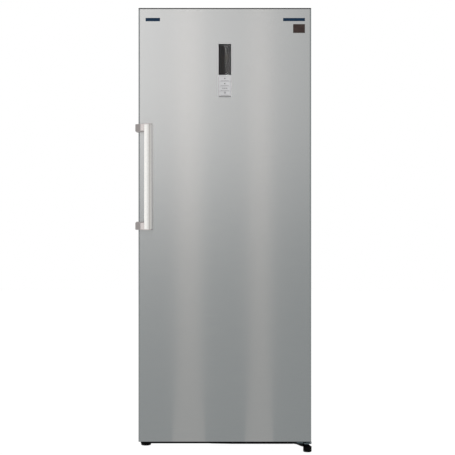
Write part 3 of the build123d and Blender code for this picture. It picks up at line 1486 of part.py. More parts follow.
def build():
    hinge_set = hinge_screws()
    handle_room = handle_screw_blanks()
    glasses = [shelf_glass(index) for index in range(SHELF_COUNT)]
    shell = compressor()
    lines = refrigerant_line_list(shell)
    cap_top = door_cap_top()
    cap_bottom = door_cap_bottom()
    bushes = hinge_bushes()
    parts = {
        "outer_wrapper": outer_wrapper() - hinge_set,
        "rear_panel": rear_panel(),
        "base_pan": base_pan(lines) - hinge_set,
        "insulation_foam": insulation_foam(lines, [hinge_set]),
        "inner_liner": inner_liner(lines),
        "front_plinth": front_plinth(),
        "top_hinge": top_hinge(),
        "top_hinge_cover": top_hinge_cover(),
        "bottom_hinge": bottom_hinge(),
        "hinge_screws": hinge_set,
        "compressor": shell,
        "compressor_mounts": compressor_mounts(),
        "terminal_cover": terminal_cover(shell),
        "refrigerant_lines": group(lines),
        "filter_drier": filter_drier(),
        "drain_hose": drain_hose(False),
        "drain_pan": drain_pan(),
        "rear_bay_cover": rear_bay_cover(),
        "power_inlet": power_inlet(),
        "control_board": control_board(),
        "evaporator": evaporator(),
        "defrost_heater": defrost_heater(),
        "fan_motor": fan_motor(),
        "fan_blade": fan_blade(),
        "air_duct_panel": air_duct_panel(),
        "led_lamp": led_lamp(),
        "roller_axles": roller_axles(),
        "shelf_trims": shelf_trims(glasses),
        "door_skin": door_skin(),
        "door_foam": door_foam([cap_top, cap_bottom, bushes, handle_room, pin_rooms()]),
        "door_liner": door_liner(),
        "door_cap_top": cap_top,
        "door_cap_bottom": cap_bottom,
        "door_gasket": door_gasket(),
        "hinge_bushes": bushes,
        "handle_bar": handle_bar(),
        "handle_brackets": handle_brackets(handle_room),
        "handle_screws": handle_screws(),
        "panel_bezel": panel_bezel(),
        "display_window": display_window(),
        "display_board": display_board(),
        "door_plates": door_plates(),
        "foot_left": foot(left_foot_x(), left_foot_y(), LEFT_FOOT_RADIUS, 0, CABINET_BOTTOM, BASE_TOP + 16),
        "foot_right": foot(
            PIN_X, PIN_Y, RIGHT_FOOT_RADIUS, RIGHT_FOOT_COLLAR, EAR_BOTTOM - 5, DOOR_BOTTOM - 4
        ),
        "roller_left": roller(-1),
        "roller_right": roller(1),
        "drawer_lower": drawer(LOWER_DRAWER_BOTTOM, LOWER_DRAWER_DEPTH),
        "drawer_upper": drawer(UPPER_DRAWER_BOTTOM, UPPER_DRAWER_DEPTH),
    }
    for index in range(SHELF_COUNT):
        parts[f"shelf_glass_{index + 1}"] = glasses[index]
    for index in range(BIN_COUNT):
        parts[f"door_bin_{index + 1}"] = door_bin(index)
    for index in range(KEY_COUNT):
        parts[f"key_{index + 1}"] = key(index)
    return parts


# The blind ends of both bushes, kept free of foam for the pins.
def pin_rooms():
    low = upright(PIN_X, PIN_Y, DOOR_BOTTOM, DOOR_BOTTOM + BUSH_LENGTH + 2, PIN_RADIUS + RUNNING_GAP)
    high = upright(PIN_X, PIN_Y, RECESS_FLOOR - BUSH_LENGTH - 2, DOOR_TOP, PIN_RADIUS + RUNNING_GAP)
    return low + high


def main():
    os.makedirs("parts", exist_ok=True)
    for name, shape in build().items():
        export_step(shape, f"parts/{name}.step")
        print(name, len(shape.solids()), round(shape.volume / 1000), "cm3")


main()
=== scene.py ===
import json
import math

import bpy
from mathutils import Matrix, Vector

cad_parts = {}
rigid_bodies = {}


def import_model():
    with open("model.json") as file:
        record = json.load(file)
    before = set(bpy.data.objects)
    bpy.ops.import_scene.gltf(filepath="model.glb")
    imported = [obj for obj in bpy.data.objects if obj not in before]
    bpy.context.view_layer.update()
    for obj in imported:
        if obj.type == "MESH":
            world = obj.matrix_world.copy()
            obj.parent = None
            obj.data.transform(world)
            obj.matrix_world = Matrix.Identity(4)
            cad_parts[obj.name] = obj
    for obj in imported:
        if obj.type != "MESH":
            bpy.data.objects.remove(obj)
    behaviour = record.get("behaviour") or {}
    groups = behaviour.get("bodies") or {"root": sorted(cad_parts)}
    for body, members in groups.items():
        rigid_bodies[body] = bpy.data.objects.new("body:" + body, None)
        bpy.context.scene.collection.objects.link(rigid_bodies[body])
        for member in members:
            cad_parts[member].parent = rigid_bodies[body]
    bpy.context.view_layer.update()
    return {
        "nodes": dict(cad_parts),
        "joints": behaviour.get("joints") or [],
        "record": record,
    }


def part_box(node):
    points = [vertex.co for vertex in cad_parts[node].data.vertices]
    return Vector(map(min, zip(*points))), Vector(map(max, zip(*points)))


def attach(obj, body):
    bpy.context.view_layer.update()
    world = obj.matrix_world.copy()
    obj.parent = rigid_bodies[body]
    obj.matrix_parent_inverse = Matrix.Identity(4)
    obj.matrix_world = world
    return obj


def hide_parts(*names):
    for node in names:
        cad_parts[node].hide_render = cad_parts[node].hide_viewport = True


for leftover in list(bpy.data.objects):   # Blender's own start-up cube, lamp and camera
    bpy.data.objects.remove(leftover)

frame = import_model()
nodes = frame["nodes"]
print("frame: loaded", len(nodes), "nodes")

near = 0.001     # metres: what is this close to a plane lies in it
overcut = 0.01   # metres: how far a cutter reaches past the piece it cuts
aligned = 0.9    # cosine past which an edge or a face points along an axis
flat = 0.99      # cosine past which a face is the flat one inside a bevel


# Modelling helpers, used by every piece below

def clearSelection():
    if bpy.context.mode != "OBJECT":
        bpy.ops.object.mode_set(mode="OBJECT")
    bpy.ops.object.select_all(action="DESELECT")


def selectOnly(piece):
    clearSelection()
    bpy.context.view_layer.objects.active = piece
    piece.select_set(True)


def startBox(name, low, high):
    clearSelection()
    bpy.ops.mesh.primitive_cube_add(size=1, location=(Vector(low) + Vector(high)) / 2)
    piece = bpy.context.object
    piece.name = name
    piece.scale = Vector(high) - Vector(low)
    bpy.ops.object.transform_apply()
    return piece


def centredBox(name, x, z, halfX, halfZ, front, back):
    return startBox(name, (x - halfX, front, z - halfZ), (x + halfX, back, z + halfZ))


def boxOver(name, node, inset, front, back):   # as wide and high as a CAD node, less the inset all round
    low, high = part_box(node)
    return startBox(name, (low.x + inset, front, low.z + inset), (high.x - inset, back, high.z - inset))


def startRod(name, centre, radius, length, axis, sides):
    clearSelection()
    turn = {"Y": (math.pi / 2, 0, 0), "Z": (0, 0, 0)}[axis]
    bpy.ops.mesh.primitive_cylinder_add(
        vertices=sides, radius=radius, depth=length, location=centre, rotation=turn)
    piece = bpy.context.object
    piece.name = name
    bpy.ops.object.transform_apply()
    return piece


def openForEdit(piece, mode):
    selectOnly(piece)
    bpy.context.tool_settings.mesh_select_mode = (False, mode == "edges", mode == "faces")
    for part in (piece.data.vertices, piece.data.edges, piece.data.polygons):
        part.foreach_set("select", [False] * len(part))


def pickFaces(piece, wanted):
    openForEdit(piece, "faces")
    for face in piece.data.polygons:
        face.select = wanted(face.center, face.normal)
    bpy.ops.object.mode_set(mode="EDIT")


def pickEdges(piece, wanted):
    openForEdit(piece, "edges")
    points = piece.data.vertices
    for edge in piece.data.edges:
        a, b = (points[index].co for index in edge.vertices)
        edge.select = wanted((a + b) / 2, (b - a).normalized())
    bpy.ops.object.mode_set(mode="EDIT")


def doneEditing():
    bpy.ops.object.mode_set(mode="OBJECT")


def alongY(middle, way):   # edges from front to back
    return abs(way.y) > aligned


def alongZ(middle, way):   # upright edges
    return abs(way.z) > aligned


def facingFront(centre, normal):
    return normal.y < -aligned


def everyFace(centre, normal):
    return True


def roundEdges(piece, wanted, radius, steps):
    pickEdges(piece, wanted)
    bpy.ops.mesh.bevel(offset=radius, segments=steps, affect="EDGES")
    doneEditing()


def bevelRound(piece, wanted, width):   # softens the outline of the picked faces
    pickFaces(piece, wanted)
    bpy.ops.mesh.bevel(offset=width, segments=2, affect="EDGES")
    doneEditing()


def sinkFaces(piece, wanted, inset, move, single=False):   # insets the picked faces and moves them along Y
    pickFaces(piece, wanted)
    bpy.ops.mesh.inset(thickness=inset, use_individual=single)
    bpy.ops.transform.translate(value=(0, move, 0))
    doneEditing()


def extrudePicked(x, y, z):
    bpy.ops.mesh.extrude_region_move(TRANSFORM_OT_translate={"value": (x, y, z)})


def applyModifier(piece, kind, **settings):
    selectOnly(piece)
    modifier = piece.modifiers.new(kind.title(), kind)
    for name, value in settings.items():
        setattr(modifier, name, value)
    bpy.ops.object.modifier_apply(modifier=modifier.name)


def softenPiece(piece, width=0, steps=2, angle=30):   # small rounds on every crease, then even shading
    if width:
        applyModifier(
            piece, "BEVEL", width=width, segments=steps, limit_method="ANGLE",
            angle_limit=math.radians(angle))
    bpy.ops.object.shade_smooth_by_angle(angle=math.radians(angle))
    applyModifier(piece, "WEIGHTED_NORMAL", keep_sharp=True)


def cutOut(piece, cutter):
    applyModifier(piece, "BOOLEAN", operation="DIFFERENCE", object=cutter, solver="EXACT")
    bpy.data.objects.remove(cutter)


def makeRing(name, centre, radius, bore, thickness):
    ring = startRod(name, centre, radius, thickness, "Y", 32)
    cutOut(ring, startRod("bore", centre, bore, overcut, "Y", 32))
    return ring


def bisectPiece(piece, point, normal, keepBoth=False):
    pickFaces(piece, everyFace)
    bpy.ops.mesh.bisect(
        plane_co=point, plane_no=Vector(normal).normalized(), use_fill=not keepBoth,
        clear_outer=not keepBoth, threshold=0.000001)
    doneEditing()


def copyPiece(piece, shift):
    selectOnly(piece)
    bpy.ops.object.duplicate()
    twin = bpy.context.object
    twin.location = shift
    bpy.ops.object.transform_apply()
    return twin


def joinPieces(name, pieces):
    clearSelection()
    for piece in pieces:
        piece.select_set(True)
    bpy.context.view_layer.objects.active = pieces[0]
    bpy.ops.object.join()
    whole = bpy.context.object
    whole.name = name
    return whole


def settlePiece(piece, body, slotName, material, *replaced):
    piece.data.materials.clear()
    piece.data.materials.append(material)
    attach(piece, body)
    if replaced:
        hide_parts(*replaced)


# Material helpers

def linearColour(code):
    channels = [int(code[i:i + 2], 16) / 255 for i in (1, 3, 5)]
    return tuple(c / 12.92 if c <= 0.04045 else ((c + 0.055) / 1.055) ** 2.4 for c in channels) + (1.0,)


def addNode(tree, kind, inputs, **settings):
    node = tree.nodes.new(kind)
    for name, value in settings.items():
        setattr(node, name, value)
    for name, value in inputs.items():
        if isinstance(value, bpy.types.NodeSocket):
            tree.links.new(value, node.inputs[name])
        else:
            node.inputs[name].default_value = value
    return node


def startMaterial(name, values):
    material = bpy.data.materials.new(name)
    material.use_nodes = True
    shader = material.node_tree.nodes["Principled BSDF"]
    for socket, value in values.items():
        shader.inputs[socket].default_value = value
    place = addNode(material.node_tree, "ShaderNodeTexCoord", {})
    return material, material.node_tree, shader, place.outputs["Object"]


def stretchedGrain(tree, place, perMetre, detail=3):   # perMetre: grains in a metre along X, Y and Z
    mapping = addNode(tree, "ShaderNodeMapping", {"Vector": place, "Scale": perMetre})
    noise = addNode(tree, "ShaderNodeTexNoise", {
        "Vector": mapping.outputs["Vector"], "Scale": 1.0, "Detail": detail, "Roughness": 0.55})
    return noise.outputs["Fac"]


def spreadPattern(tree, shader, pattern, colours=None, roughness=None, bump=None):
    # colours and roughness run from the first to the second of the pair, and bump is a height in metres
    low, high = 0.3, 0.7   # nearly all of a grain lies between these
    if colours:
        ramp = addNode(tree, "ShaderNodeValToRGB", {"Fac": pattern})
        for stop, position, code in zip(ramp.color_ramp.elements, (low, high), colours):
            stop.position = position
            stop.color = linearColour(code)
        tree.links.new(ramp.outputs["Color"], shader.inputs["Base Color"])
    if roughness:
        spread = addNode(tree, "ShaderNodeMapRange", {
            "Value": pattern, "From Min": low, "From Max": high,
            "To Min": roughness[0], "To Max": roughness[1]})
        tree.links.new(spread.outputs["Result"], shader.inputs["Roughness"])
    if bump:
        relief = addNode(tree, "ShaderNodeBump", {"Height": pattern, "Distance": bump})
        tree.links.new(relief.outputs["Normal"], shader.inputs["Normal"])


def grainedMaterial(name, values, perMetre, detail=3, **spread):   # one grain drives all that varies
    material, tree, shader, place = startMaterial(name, values)
    spreadPattern(tree, shader, stretchedGrain(tree, place, perMetre, detail), **spread)
    return material


# Metals

def brushedStainless():   # cold-rolled sheet brushed crosswise, so its reflections stretch up and down
    material = grainedMaterial(
        "brushedStainlessSheet", {"Metallic": 1.0, "Anisotropic": 1.0, "Anisotropic Rotation": 0.25},
        (9, 9, 420),   # the real 0.2 mm strokes, drawn 2.4 mm apart to show
        colours=("#7f8384", "#828686"), roughness=(0.19, 0.21))
    tree = material.node_tree
    tangent = addNode(tree, "ShaderNodeTangent", {}, direction_type="RADIAL", axis="Z")
    tree.links.new(tangent.outputs["Tangent"], tree.nodes["Principled BSDF"].inputs["Tangent"])
    return material


def extrudedAluminium():   # extruded, bead blasted and satin anodised: a soft even grain, pale and warm
    return grainedMaterial(
        "satinAnodisedAluminium", {"Metallic": 1.0},
        (330, 330, 260), 2,   # the real 0.2 mm blasting grain, drawn 3 mm wide to show
        colours=("#a3a2a0", "#b0afac"), roughness=(0.18, 0.26), bump=0.00010)


def millFinishPaintedLight():   # as it left the die, with fine lines along it: brighter than the blasted front, partly painted light that the door reflects as a light band beside the bar
    return grainedMaterial(
        "millFinishPaintedLight", {"Metallic": 1.0},
        (700, 700, 5),   # the real 0.1 mm die lines, drawn 1.4 mm apart to show
        colours=("#e9e8e6", "#f3f2f0"), roughness=(0.26, 0.36))


def castZinc():   # pressure die cast, bead blasted and plated: a fine even grain
    return grainedMaterial(
        "satinPlatedZinc", {"Metallic": 1.0},
        (700, 700, 700),   # the real 0.2 mm blasting grain, drawn 1.4 mm wide to show
        colours=("#908b8a", "#9a9593"), roughness=(0.2, 0.27), bump=0.00004)


def galvanisedSheet():   # hot-dip zinc on sheet: crystals about 9 mm across, each with its own grey
    material, tree, shader, place = startMaterial("galvanisedSheet", {"Metallic": 0.9})
    crystals = addNode(tree, "ShaderNodeTexVoronoi", {"Vector": place, "Scale": 110.0})
    grey = addNode(tree, "ShaderNodeSeparateColor", {"Color": crystals.outputs["Color"]})
    spreadPattern(tree, shader, grey.outputs["Red"], colours=("#acb0b2", "#b9bdbe"))
    spreadPattern(tree, shader, grey.outputs["Green"], roughness=(0.34, 0.5))
    return material


def darkPaintedSteel():   # pressed plate, phosphated and powder coated: charcoal with a 2 mm orange peel
    return grainedMaterial(
        "charcoalPowderCoatedSteel", {"Metallic": 0.25, "Roughness": 0.42}, (500, 500, 500),
        colours=("#24282a", "#2f3436"), bump=0.00006)


paintedShadeLine = {"Z": (0.0327, 0.0333), "X": (0.2960, 0.3010)}   # metres between full black and bare plate: the black is partly painted shade


def platedSteelPaintedShade():   # zinc-plated plate, black below and beside its ear: partly a black-painted flange, partly painted shade under the ear
    material, tree, shader, place = startMaterial("platedSteelBlackWithPaintedShade", {"Specular IOR Level": 0.1})
    spot = addNode(tree, "ShaderNodeSeparateXYZ", {"Vector": place})
    past = []
    for axis, (start, end) in paintedShadeLine.items():
        edge = addNode(tree, "ShaderNodeMapRange", {
            "Value": spot.outputs[axis], "From Min": start, "From Max": end})
        past.append(edge.outputs["Result"])
    bare = addNode(tree, "ShaderNodeMath", {0: past[0], 1: past[1]}, operation="MULTIPLY")
    tree.links.new(bare.outputs[0], shader.inputs["Metallic"])
    spreadPattern(tree, shader, bare.outputs[0], colours=("#070809", "#4a5457"))
    spreadPattern(tree, shader, stretchedGrain(tree, place, (500, 500, 500)), roughness=(0.3, 0.42))
    return material


def silverPaint():   # coil-coated cabinet sheet: even grey with a slight orange peel, crests 4 mm apart
    return grainedMaterial(
        "silverCoilCoatedSheet",
        {"Metallic": 0.3, "Roughness": 0.4, "Coat Weight": 0.25, "Coat Roughness": 0.2}, (260, 260, 260),
        colours=("#a4a6a7", "#abadae"), bump=0.00003)


def compressorEnamel():   # baked black enamel over a drawn shell: glossy, with faint runs 11 mm wide
    return grainedMaterial(
        "blackBakedEnamel", {}, (90, 90, 60),
        colours=("#121315", "#1c1d20"), roughness=(0.22, 0.36), bump=0.0001)


def drawnCopper():   # drawn tube, hand bent: faint brown tarnish in patches of 22 mm
    return grainedMaterial(
        "drawnCopperTube", {"Metallic": 1.0}, (45, 45, 45),
        colours=("#9a5c3c", "#c98764"), roughness=(0.24, 0.42))


def finAluminium():   # rolled foil fins and drawn tube, bare: streaks 3 mm apart along the roll
    return grainedMaterial(
        "rolledAluminiumFin", {"Metallic": 1.0}, (300, 20, 300),
        colours=("#c3c6c8", "#d8dadb"), roughness=(0.3, 0.42))


# Plastics, rubber, foam and glass

def mouldedPlastic(name, dark, light, roughness, grains, height, gloss=0.5):   # tool grain over soft clouds
    material, tree, shader, place = startMaterial(name, {"IOR": 1.5, "Specular IOR Level": gloss})
    spreadPattern(tree, shader, stretchedGrain(tree, place, (14, 14, 14), 1), colours=(dark, light))
    spreadPattern(
        tree, shader, stretchedGrain(tree, place, (grains, grains, grains), 4),
        roughness=(roughness - 0.05, roughness + 0.06), bump=height)
    return material


def clearStyrene():   # injection moulded crystal styrene: clear, a little blue, with faint flow marks
    return grainedMaterial(
        "clearMouldedStyrene",
        {"Base Color": linearColour("#e6f1f6"), "IOR": 1.57, "Transmission Weight": 0.92}, (12, 12, 40), 2,
        roughness=(0.04, 0.1), bump=0.0004)


def temperedGlass():   # float glass, ground edges: green where it is seen along the sheet
    return grainedMaterial(
        "temperedShelfGlass",
        {"Base Color": linearColour("#d3ece2"), "IOR": 1.52, "Transmission Weight": 0.95}, (10, 3, 10), 1,
        roughness=(0.01, 0.03))


def smokedGlass():   # dark tinted pane with a low-glare coating: what is lit behind it just shows
    return grainedMaterial(
        "smokedDisplayPane", {"IOR": 1.5, "Alpha": 0.42, "Specular IOR Level": 0.08}, (160, 160, 160), 2,
        colours=("#08080a", "#0c0c0e"), roughness=(0.015, 0.03))


def lampDiffuser():   # opal acrylic, ribbed inside and lit from behind
    material, tree, shader, place = startMaterial("opalAcrylicDiffuser", {
        "Roughness": 0.25, "Emission Strength": 1.6, "Emission Color": linearColour("#fbfdff")})
    ribs = addNode(tree, "ShaderNodeTexWave", {"Vector": place, "Scale": 60.0}, bands_direction="X")
    spreadPattern(tree, shader, ribs.outputs["Fac"], colours=("#e4e7e8", "#f3f5f5"), bump=0.0006)
    return material


def litSegments():   # light pipes of the number display, dim behind the smoked pane
    return grainedMaterial(
        "amberLightPipe",
        {"Roughness": 0.5, "Emission Strength": 0.3, "Emission Color": linearColour("#e6d3bd")},
        (300, 300, 300), 1, colours=("#776f66", "#857c72"))


def printedFilm(name, dark, light, roughness, gloss=0.5, coat=0.3):   # vinyl film with screen-printed ink
    return grainedMaterial(
        name, {
            "Roughness": roughness, "IOR": 1.46, "Specular IOR Level": gloss, "Coat Weight": coat,
            "Coat Roughness": 0.1},
        (120, 120, 120), 2, colours=(dark, light), bump=0.00004)


def insulationFoam():   # blown rigid polyurethane: open cut cells 1.4 mm across
    material, tree, shader, place = startMaterial("rigidPolyurethaneFoam", {"Roughness": 0.95})
    cells = addNode(tree, "ShaderNodeTexVoronoi", {"Vector": place, "Scale": 700.0})
    spreadPattern(tree, shader, cells.outputs["Distance"], colours=("#b99f5e", "#dccb92"), bump=0.0005)
    return material


def circuitBoard():   # solder mask over copper tracks: lighter lines on the dark green
    material, tree, shader, place = startMaterial("greenSolderMask", {"Roughness": 0.35, "Coat Weight": 0.4})
    tracks = addNode(tree, "ShaderNodeTexBrick", {
        "Vector": place, "Scale": 90.0, "Mortar Size": 0.03, "Color1": linearColour("#0d4a28"),
        "Color2": linearColour("#0f5730"), "Mortar": linearColour("#2f8a55")})
    tree.links.new(tracks.outputs["Color"], shader.inputs["Base Color"])
    spreadPattern(tree, shader, tracks.outputs["Fac"], bump=0.0001)
    return material


steel = brushedStainless()
aluminium = extrudedAluminium()
millPaintedLightAluminium = millFinishPaintedLight()
galvanised = galvanisedSheet()
trimPlastic = mouldedPlastic("whiteMouldedAbs", "#e6e8e8", "#eceeee", 0.28, 700, 0.00002)
blackPlastic = mouldedPlastic("blackGrainedPolypropylene", "#050505", "#090909", 0.6, 800, 0.00012, 0.04)
silverPlastic = mouldedPlastic("silverPaintedAbs", "#aeb1b3", "#b6b9bb", 0.35, 900, 0.00002)
gasketPvc = mouldedPlastic("greySoftPvc", "#a0a3a5", "#a9acae", 0.55, 500, 0.00004)
# grey for the strip under the key panel: painted shade, not a real seal
paintedShadeGrey = mouldedPlastic("greyPaintedShadeStrip", "#7a7c7d", "#848687", 0.6, 500, 0.00004)
styrene = clearStyrene()
paneGlass = smokedGlass()
segmentLight = litSegments()
navyFilm = printedFilm("navyVinylPlate", "#12293e", "#172f46", 0.3, gloss=0.03, coat=0)
brownFilm = printedFilm("darkBrownVinylPlate", "#352c2a", "#3f3633", 0.3, gloss=0.03, coat=0)
borderInk = printedFilm("blackScreenPrint", "#060607", "#0a0a0b", 0.4)
filterFilm = printedFilm("greyDisplayFilter", "#4d4d4f", "#555557", 0.5)
padPrint = printedFilm("greyPadPrint", "#3c3e41", "#44464a", 0.5)

slotFinish = {   # the finish of each of the record's material slots
    "door_steel": steel, "silver_paint": silverPaint(), "galvanised": galvanised,
    "dark_steel": darkPaintedSteel(), "black_enamel": compressorEnamel(), "foam": insulationFoam(),
    "white_plastic": mouldedPlastic("whiteFormedPolystyrene", "#e2e4e4", "#e9ebeb", 0.32, 420, 0.00003),
    "grey_plastic": mouldedPlastic("greyMouldedAbs", "#1e2122", "#25282a", 0.5, 900, 0.00006, 0.2),
    "black_rubber": mouldedPlastic("blackMouldedRubber", "#161616", "#1f1f1f", 0.75, 600, 0.0001),
    "black_plastic": blackPlastic, "silver_plastic": silverPlastic, "clear_plastic": styrene,
    "shelf_glass": temperedGlass(), "smoked_glass": paneGlass, "satin_aluminium": aluminium,
    "cast_zinc": castZinc(), "fin_aluminium": finAluminium(), "copper": drawnCopper(),
    "board": circuitBoard(), "lamp": lampDiffuser(), "grey_rubber": gasketPvc, "navy_plate": navyFilm,
}
for part in frame["record"]["subparts"]:
    materials = nodes[part["node"]].data.materials
    materials.clear()
    materials.append(slotFinish[part["material_slot"]])
for name in ("shelf_trims", "air_duct_panel", "fan_blade", "hinge_bushes"):
    nodes[name].data.materials[0] = trimPlastic
# the lower hinge is black below its ear: partly black paint, partly painted shade
nodes["bottom_hinge"].data.materials[0] = platedSteelPaintedShade()
print("materials: made and given to the CAD nodes")


# Door skin: one sheet folded round both sides, with hems at the back

doorSheet = {
    "sheet": 0.0007,
    "edgeRadius": 0.007,
    "hem": 0.010,
    "keyHoleInset": 0.0018,
    "keyHoleBottom": 0.003,      # above the key panel's lower edge
    "keyHoleTop": 0.004,         # below the pane
    "windowHoleInset": 0.0048,
    "windowHoleBottom": 0.005,   # below the pane, so that the two holes meet
    "hingeRecessSide": 0.017,
    "hingeRecessFront": 0.008,
    "hingeRecessDrop": 0.0165,
}


def makeDoorSkin(values):
    low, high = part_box("door_skin")
    skin = startBox("doorSkin", low, high)
    pickFaces(skin, lambda centre, normal: normal.y > aligned or abs(normal.z) > aligned)
    bpy.ops.mesh.delete(type="FACE")
    doneEditing()
    roundEdges(
        skin, lambda middle, way: alongZ(middle, way) and middle.y < low.y + near, values["edgeRadius"], 8)
    for side in (-1, 1):
        pickEdges(skin, lambda middle, way: (
            alongZ(middle, way) and middle.y > high.y - near and middle.x * side > 0))
        extrudePicked(-side * values["hem"], 0, 0)
        doneEditing()
    applyModifier(skin, "SOLIDIFY", thickness=values["sheet"], offset=-1, use_even_offset=True)
    keysLow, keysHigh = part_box("panel_bezel")
    paneLow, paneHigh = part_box("display_window")
    front, back = low.y - overcut, low.y + overcut
    inset = values["keyHoleInset"]
    cutOut(skin, startBox(
        "keyHole", (keysLow.x + inset, front, keysLow.z + values["keyHoleBottom"]),
        (keysHigh.x - inset, back, paneLow.z - values["keyHoleTop"])))
    inset = values["windowHoleInset"]
    cutOut(skin, startBox(
        "windowHole", (paneLow.x + inset, front, paneLow.z - values["windowHoleBottom"]),
        (paneHigh.x - inset, back, paneHigh.z - inset)))
    hinge = next(joint for joint in frame["joints"] if joint["name"] == "door_hinge")
    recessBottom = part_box("door_cap_top")[1].z - values["hingeRecessDrop"]
    cutOut(skin, startBox(
        "hingeRecess",
        (hinge["pos_m"][0] - values["hingeRecessSide"], low.y + values["hingeRecessFront"], recessBottom),
        (high.x + overcut, high.y + overcut, high.z + overcut)))
    softenPiece(skin)
    settlePiece(skin, "door", "door_steel", steel, "door_skin")


makeDoorSkin(doorSheet)
print("door skin: folded")


# Handle bar: extruded section with a ridge, cut from a block by its facets

handleExtrusion = {
    "facets": [   # runs of the section's corners, in metres from its left front corner
        [(0.0, 0.0085), (0.0060, 0.0049), (0.0125, 0.0019), (0.0193, 0.0), (0.0248, 0.0002), (0.0315, 0.0040),
         (0.0320, 0.0100)],
        [(0.0320, 0.0190), (0.0250, 0.0270)],
        [(0.0050, 0.0270), (0.0, 0.0230)],
    ],
    "softEdge": 0.0004,
    "creaseAngle": 16,
    "paintedLightSide": 0.85,   # faces that point this far right, or this far back, keep their bright mill finish: partly painted light, a pale side and back that the door reflects beside the bar
    "paintedLightBack": 0.1,
}


def makeHandleBar(values):
    low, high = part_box("handle_bar")
    bar = startBox("handleBar", low, high)
    for corners in values["facets"]:
        for start, end in zip(corners, corners[1:]):
            outward = (end[1] - start[1], start[0] - end[0], 0)
            bisectPiece(bar, (low.x + start[0], low.y + start[1], low.z), outward)
    roundEdges(bar, alongZ, values["softEdge"], 2)
    softenPiece(bar, angle=values["creaseAngle"])
    settlePiece(bar, "door", "satin_aluminium", aluminium, "handle_bar")
    # the right side and back get the pale finish, which is partly painted light
    bar.data.materials.append(millPaintedLightAluminium)
    for face in bar.data.polygons:
        if face.normal.x > values["paintedLightSide"] or face.normal.y > values["paintedLightBack"]:
            face.material_index = 1


makeHandleBar(handleExtrusion)
print("handle: extruded")


# Display: smoked pane, printed border, filter, number and icons

display = {
    "cornerRadius": 0.002,
    "frontEdge": 0.0004,
    "backGap": 0.0003,          # from the pane's back to that of its CAD node
    "borderWidth": 0.0052,
    "borderMargin": 0.0004,
    "borderFront": 0.00028,     # both faces of the border, forward from the CAD node's back
    "borderBack": 0.00006,
    "rimWidth": 0.0014,
    "rimHeight": 0.0005,
    "rimSlope": 0.4,            # shares of the rim's width and height
    "rimCrown": 0.6,
    "filterBehindPane": 0.0028,
    "filterDish": (0.001, 0.0001),   # inset and depth
    "layer": 0.0003,            # thickness of the filter, the segments and the icons
    "lightsAhead": 0.0004,      # from the filter's front to the segments' and icons' front
    "digitHeight": 0.0165,
    "digitWidth": 0.0085,
    "digitPitch": 0.0108,
    "segmentWidth": 0.0018,
    "segmentGap": 0.7,          # shares of the segment's width
    "segmentPoint": 0.45,
    "segments": {"-": "g", "1": "bc", "8": "abcdefg"},
    "numberCentre": (-0.0012, 1.6310),
    "number": "-18",
    "iconX": -0.0085,
    "iconHeights": (1.6085, 1.590, 1.5695),
    "iconSize": 0.0042,
    "iconShares": {"arm": 12, "drop": 3, "ring": 2.4, "bore": 3.8},   # the size over each half-width
}


def makePane(values):
    low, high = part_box("display_window")
    pane = startBox("displayPane", low, (high.x, high.y - values["backGap"], high.z))
    roundEdges(pane, alongY, values["cornerRadius"], 5)
    bevelRound(pane, facingFront, values["frontEdge"])
    softenPiece(pane)
    settlePiece(pane, "door", "smoked_glass", paneGlass, "display_window")


def makePaneBorder(values):   # black print round the back of the pane
    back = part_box("display_window")[1].y
    front, back = back - values["borderFront"], back - values["borderBack"]
    margin = values["borderMargin"]
    border = boxOver("paneBorder", "display_window", margin, front, back)
    cutOut(border, boxOver(
        "borderOpening", "display_window", margin + values["borderWidth"], front - overcut, back + overcut))
    settlePiece(border, "door", "smoked_glass", borderInk)


def makePaneRim(values):
    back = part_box("display_window")[1].y
    width, height = values["rimWidth"], values["rimHeight"]
    rim = boxOver("paneRim", "display_window", -width, back - height, back)
    roundEdges(rim, alongY, values["cornerRadius"] + width, 5)
    sinkFaces(rim, facingFront, width * values["rimSlope"], -height * values["rimCrown"])
    cutOut(rim, boxOver("rimBore", "display_window", 0, back - overcut, back + overcut))
    softenPiece(rim)
    settlePiece(rim, "door", "silver_plastic", silverPlastic)


def makeFilter(values, front):
    film = boxOver(
        "displayFilter", "display_window", values["borderWidth"], front, front + values["layer"])
    sinkFaces(film, facingFront, *values["filterDish"])
    settlePiece(film, "door", "smoked_glass", filterFilm)


def makeSegment(values, x, z, y, length, upright):
    width = values["segmentWidth"]
    halfX, halfZ = (width / 2, length / 2) if upright else (length / 2, width / 2)
    segment = centredBox("segment", x, z, halfX, halfZ, y, y + values["layer"])
    roundEdges(segment, alongY, width * values["segmentPoint"], 1)   # pointed ends
    return segment


def makeNumber(values, y):
    height, width = values["digitHeight"], values["digitWidth"]
    gap = values["segmentWidth"] * values["segmentGap"]
    middleX, middleZ = values["numberCentre"]
    places = {   # each segment's place in a digit, and whether it stands upright
        "a": (0, height / 2, False), "g": (0, 0, False), "d": (0, -height / 2, False),
        "f": (-width / 2, height / 4, True), "b": (width / 2, height / 4, True),
        "e": (-width / 2, -height / 4, True), "c": (width / 2, -height / 4, True),
    }
    segments = []
    for index, digit in enumerate(values["number"]):
        x = middleX + (index - (len(values["number"]) - 1) / 2) * values["digitPitch"]
        for letter in values["segments"][digit]:
            dx, dz, upright = places[letter]
            length = (height / 2 if upright else width) - gap
            segments.append(makeSegment(values, x + dx, middleZ + dz, y, length, upright))
    settlePiece(joinPieces("displayNumber", segments), "door", "smoked_glass", segmentLight)


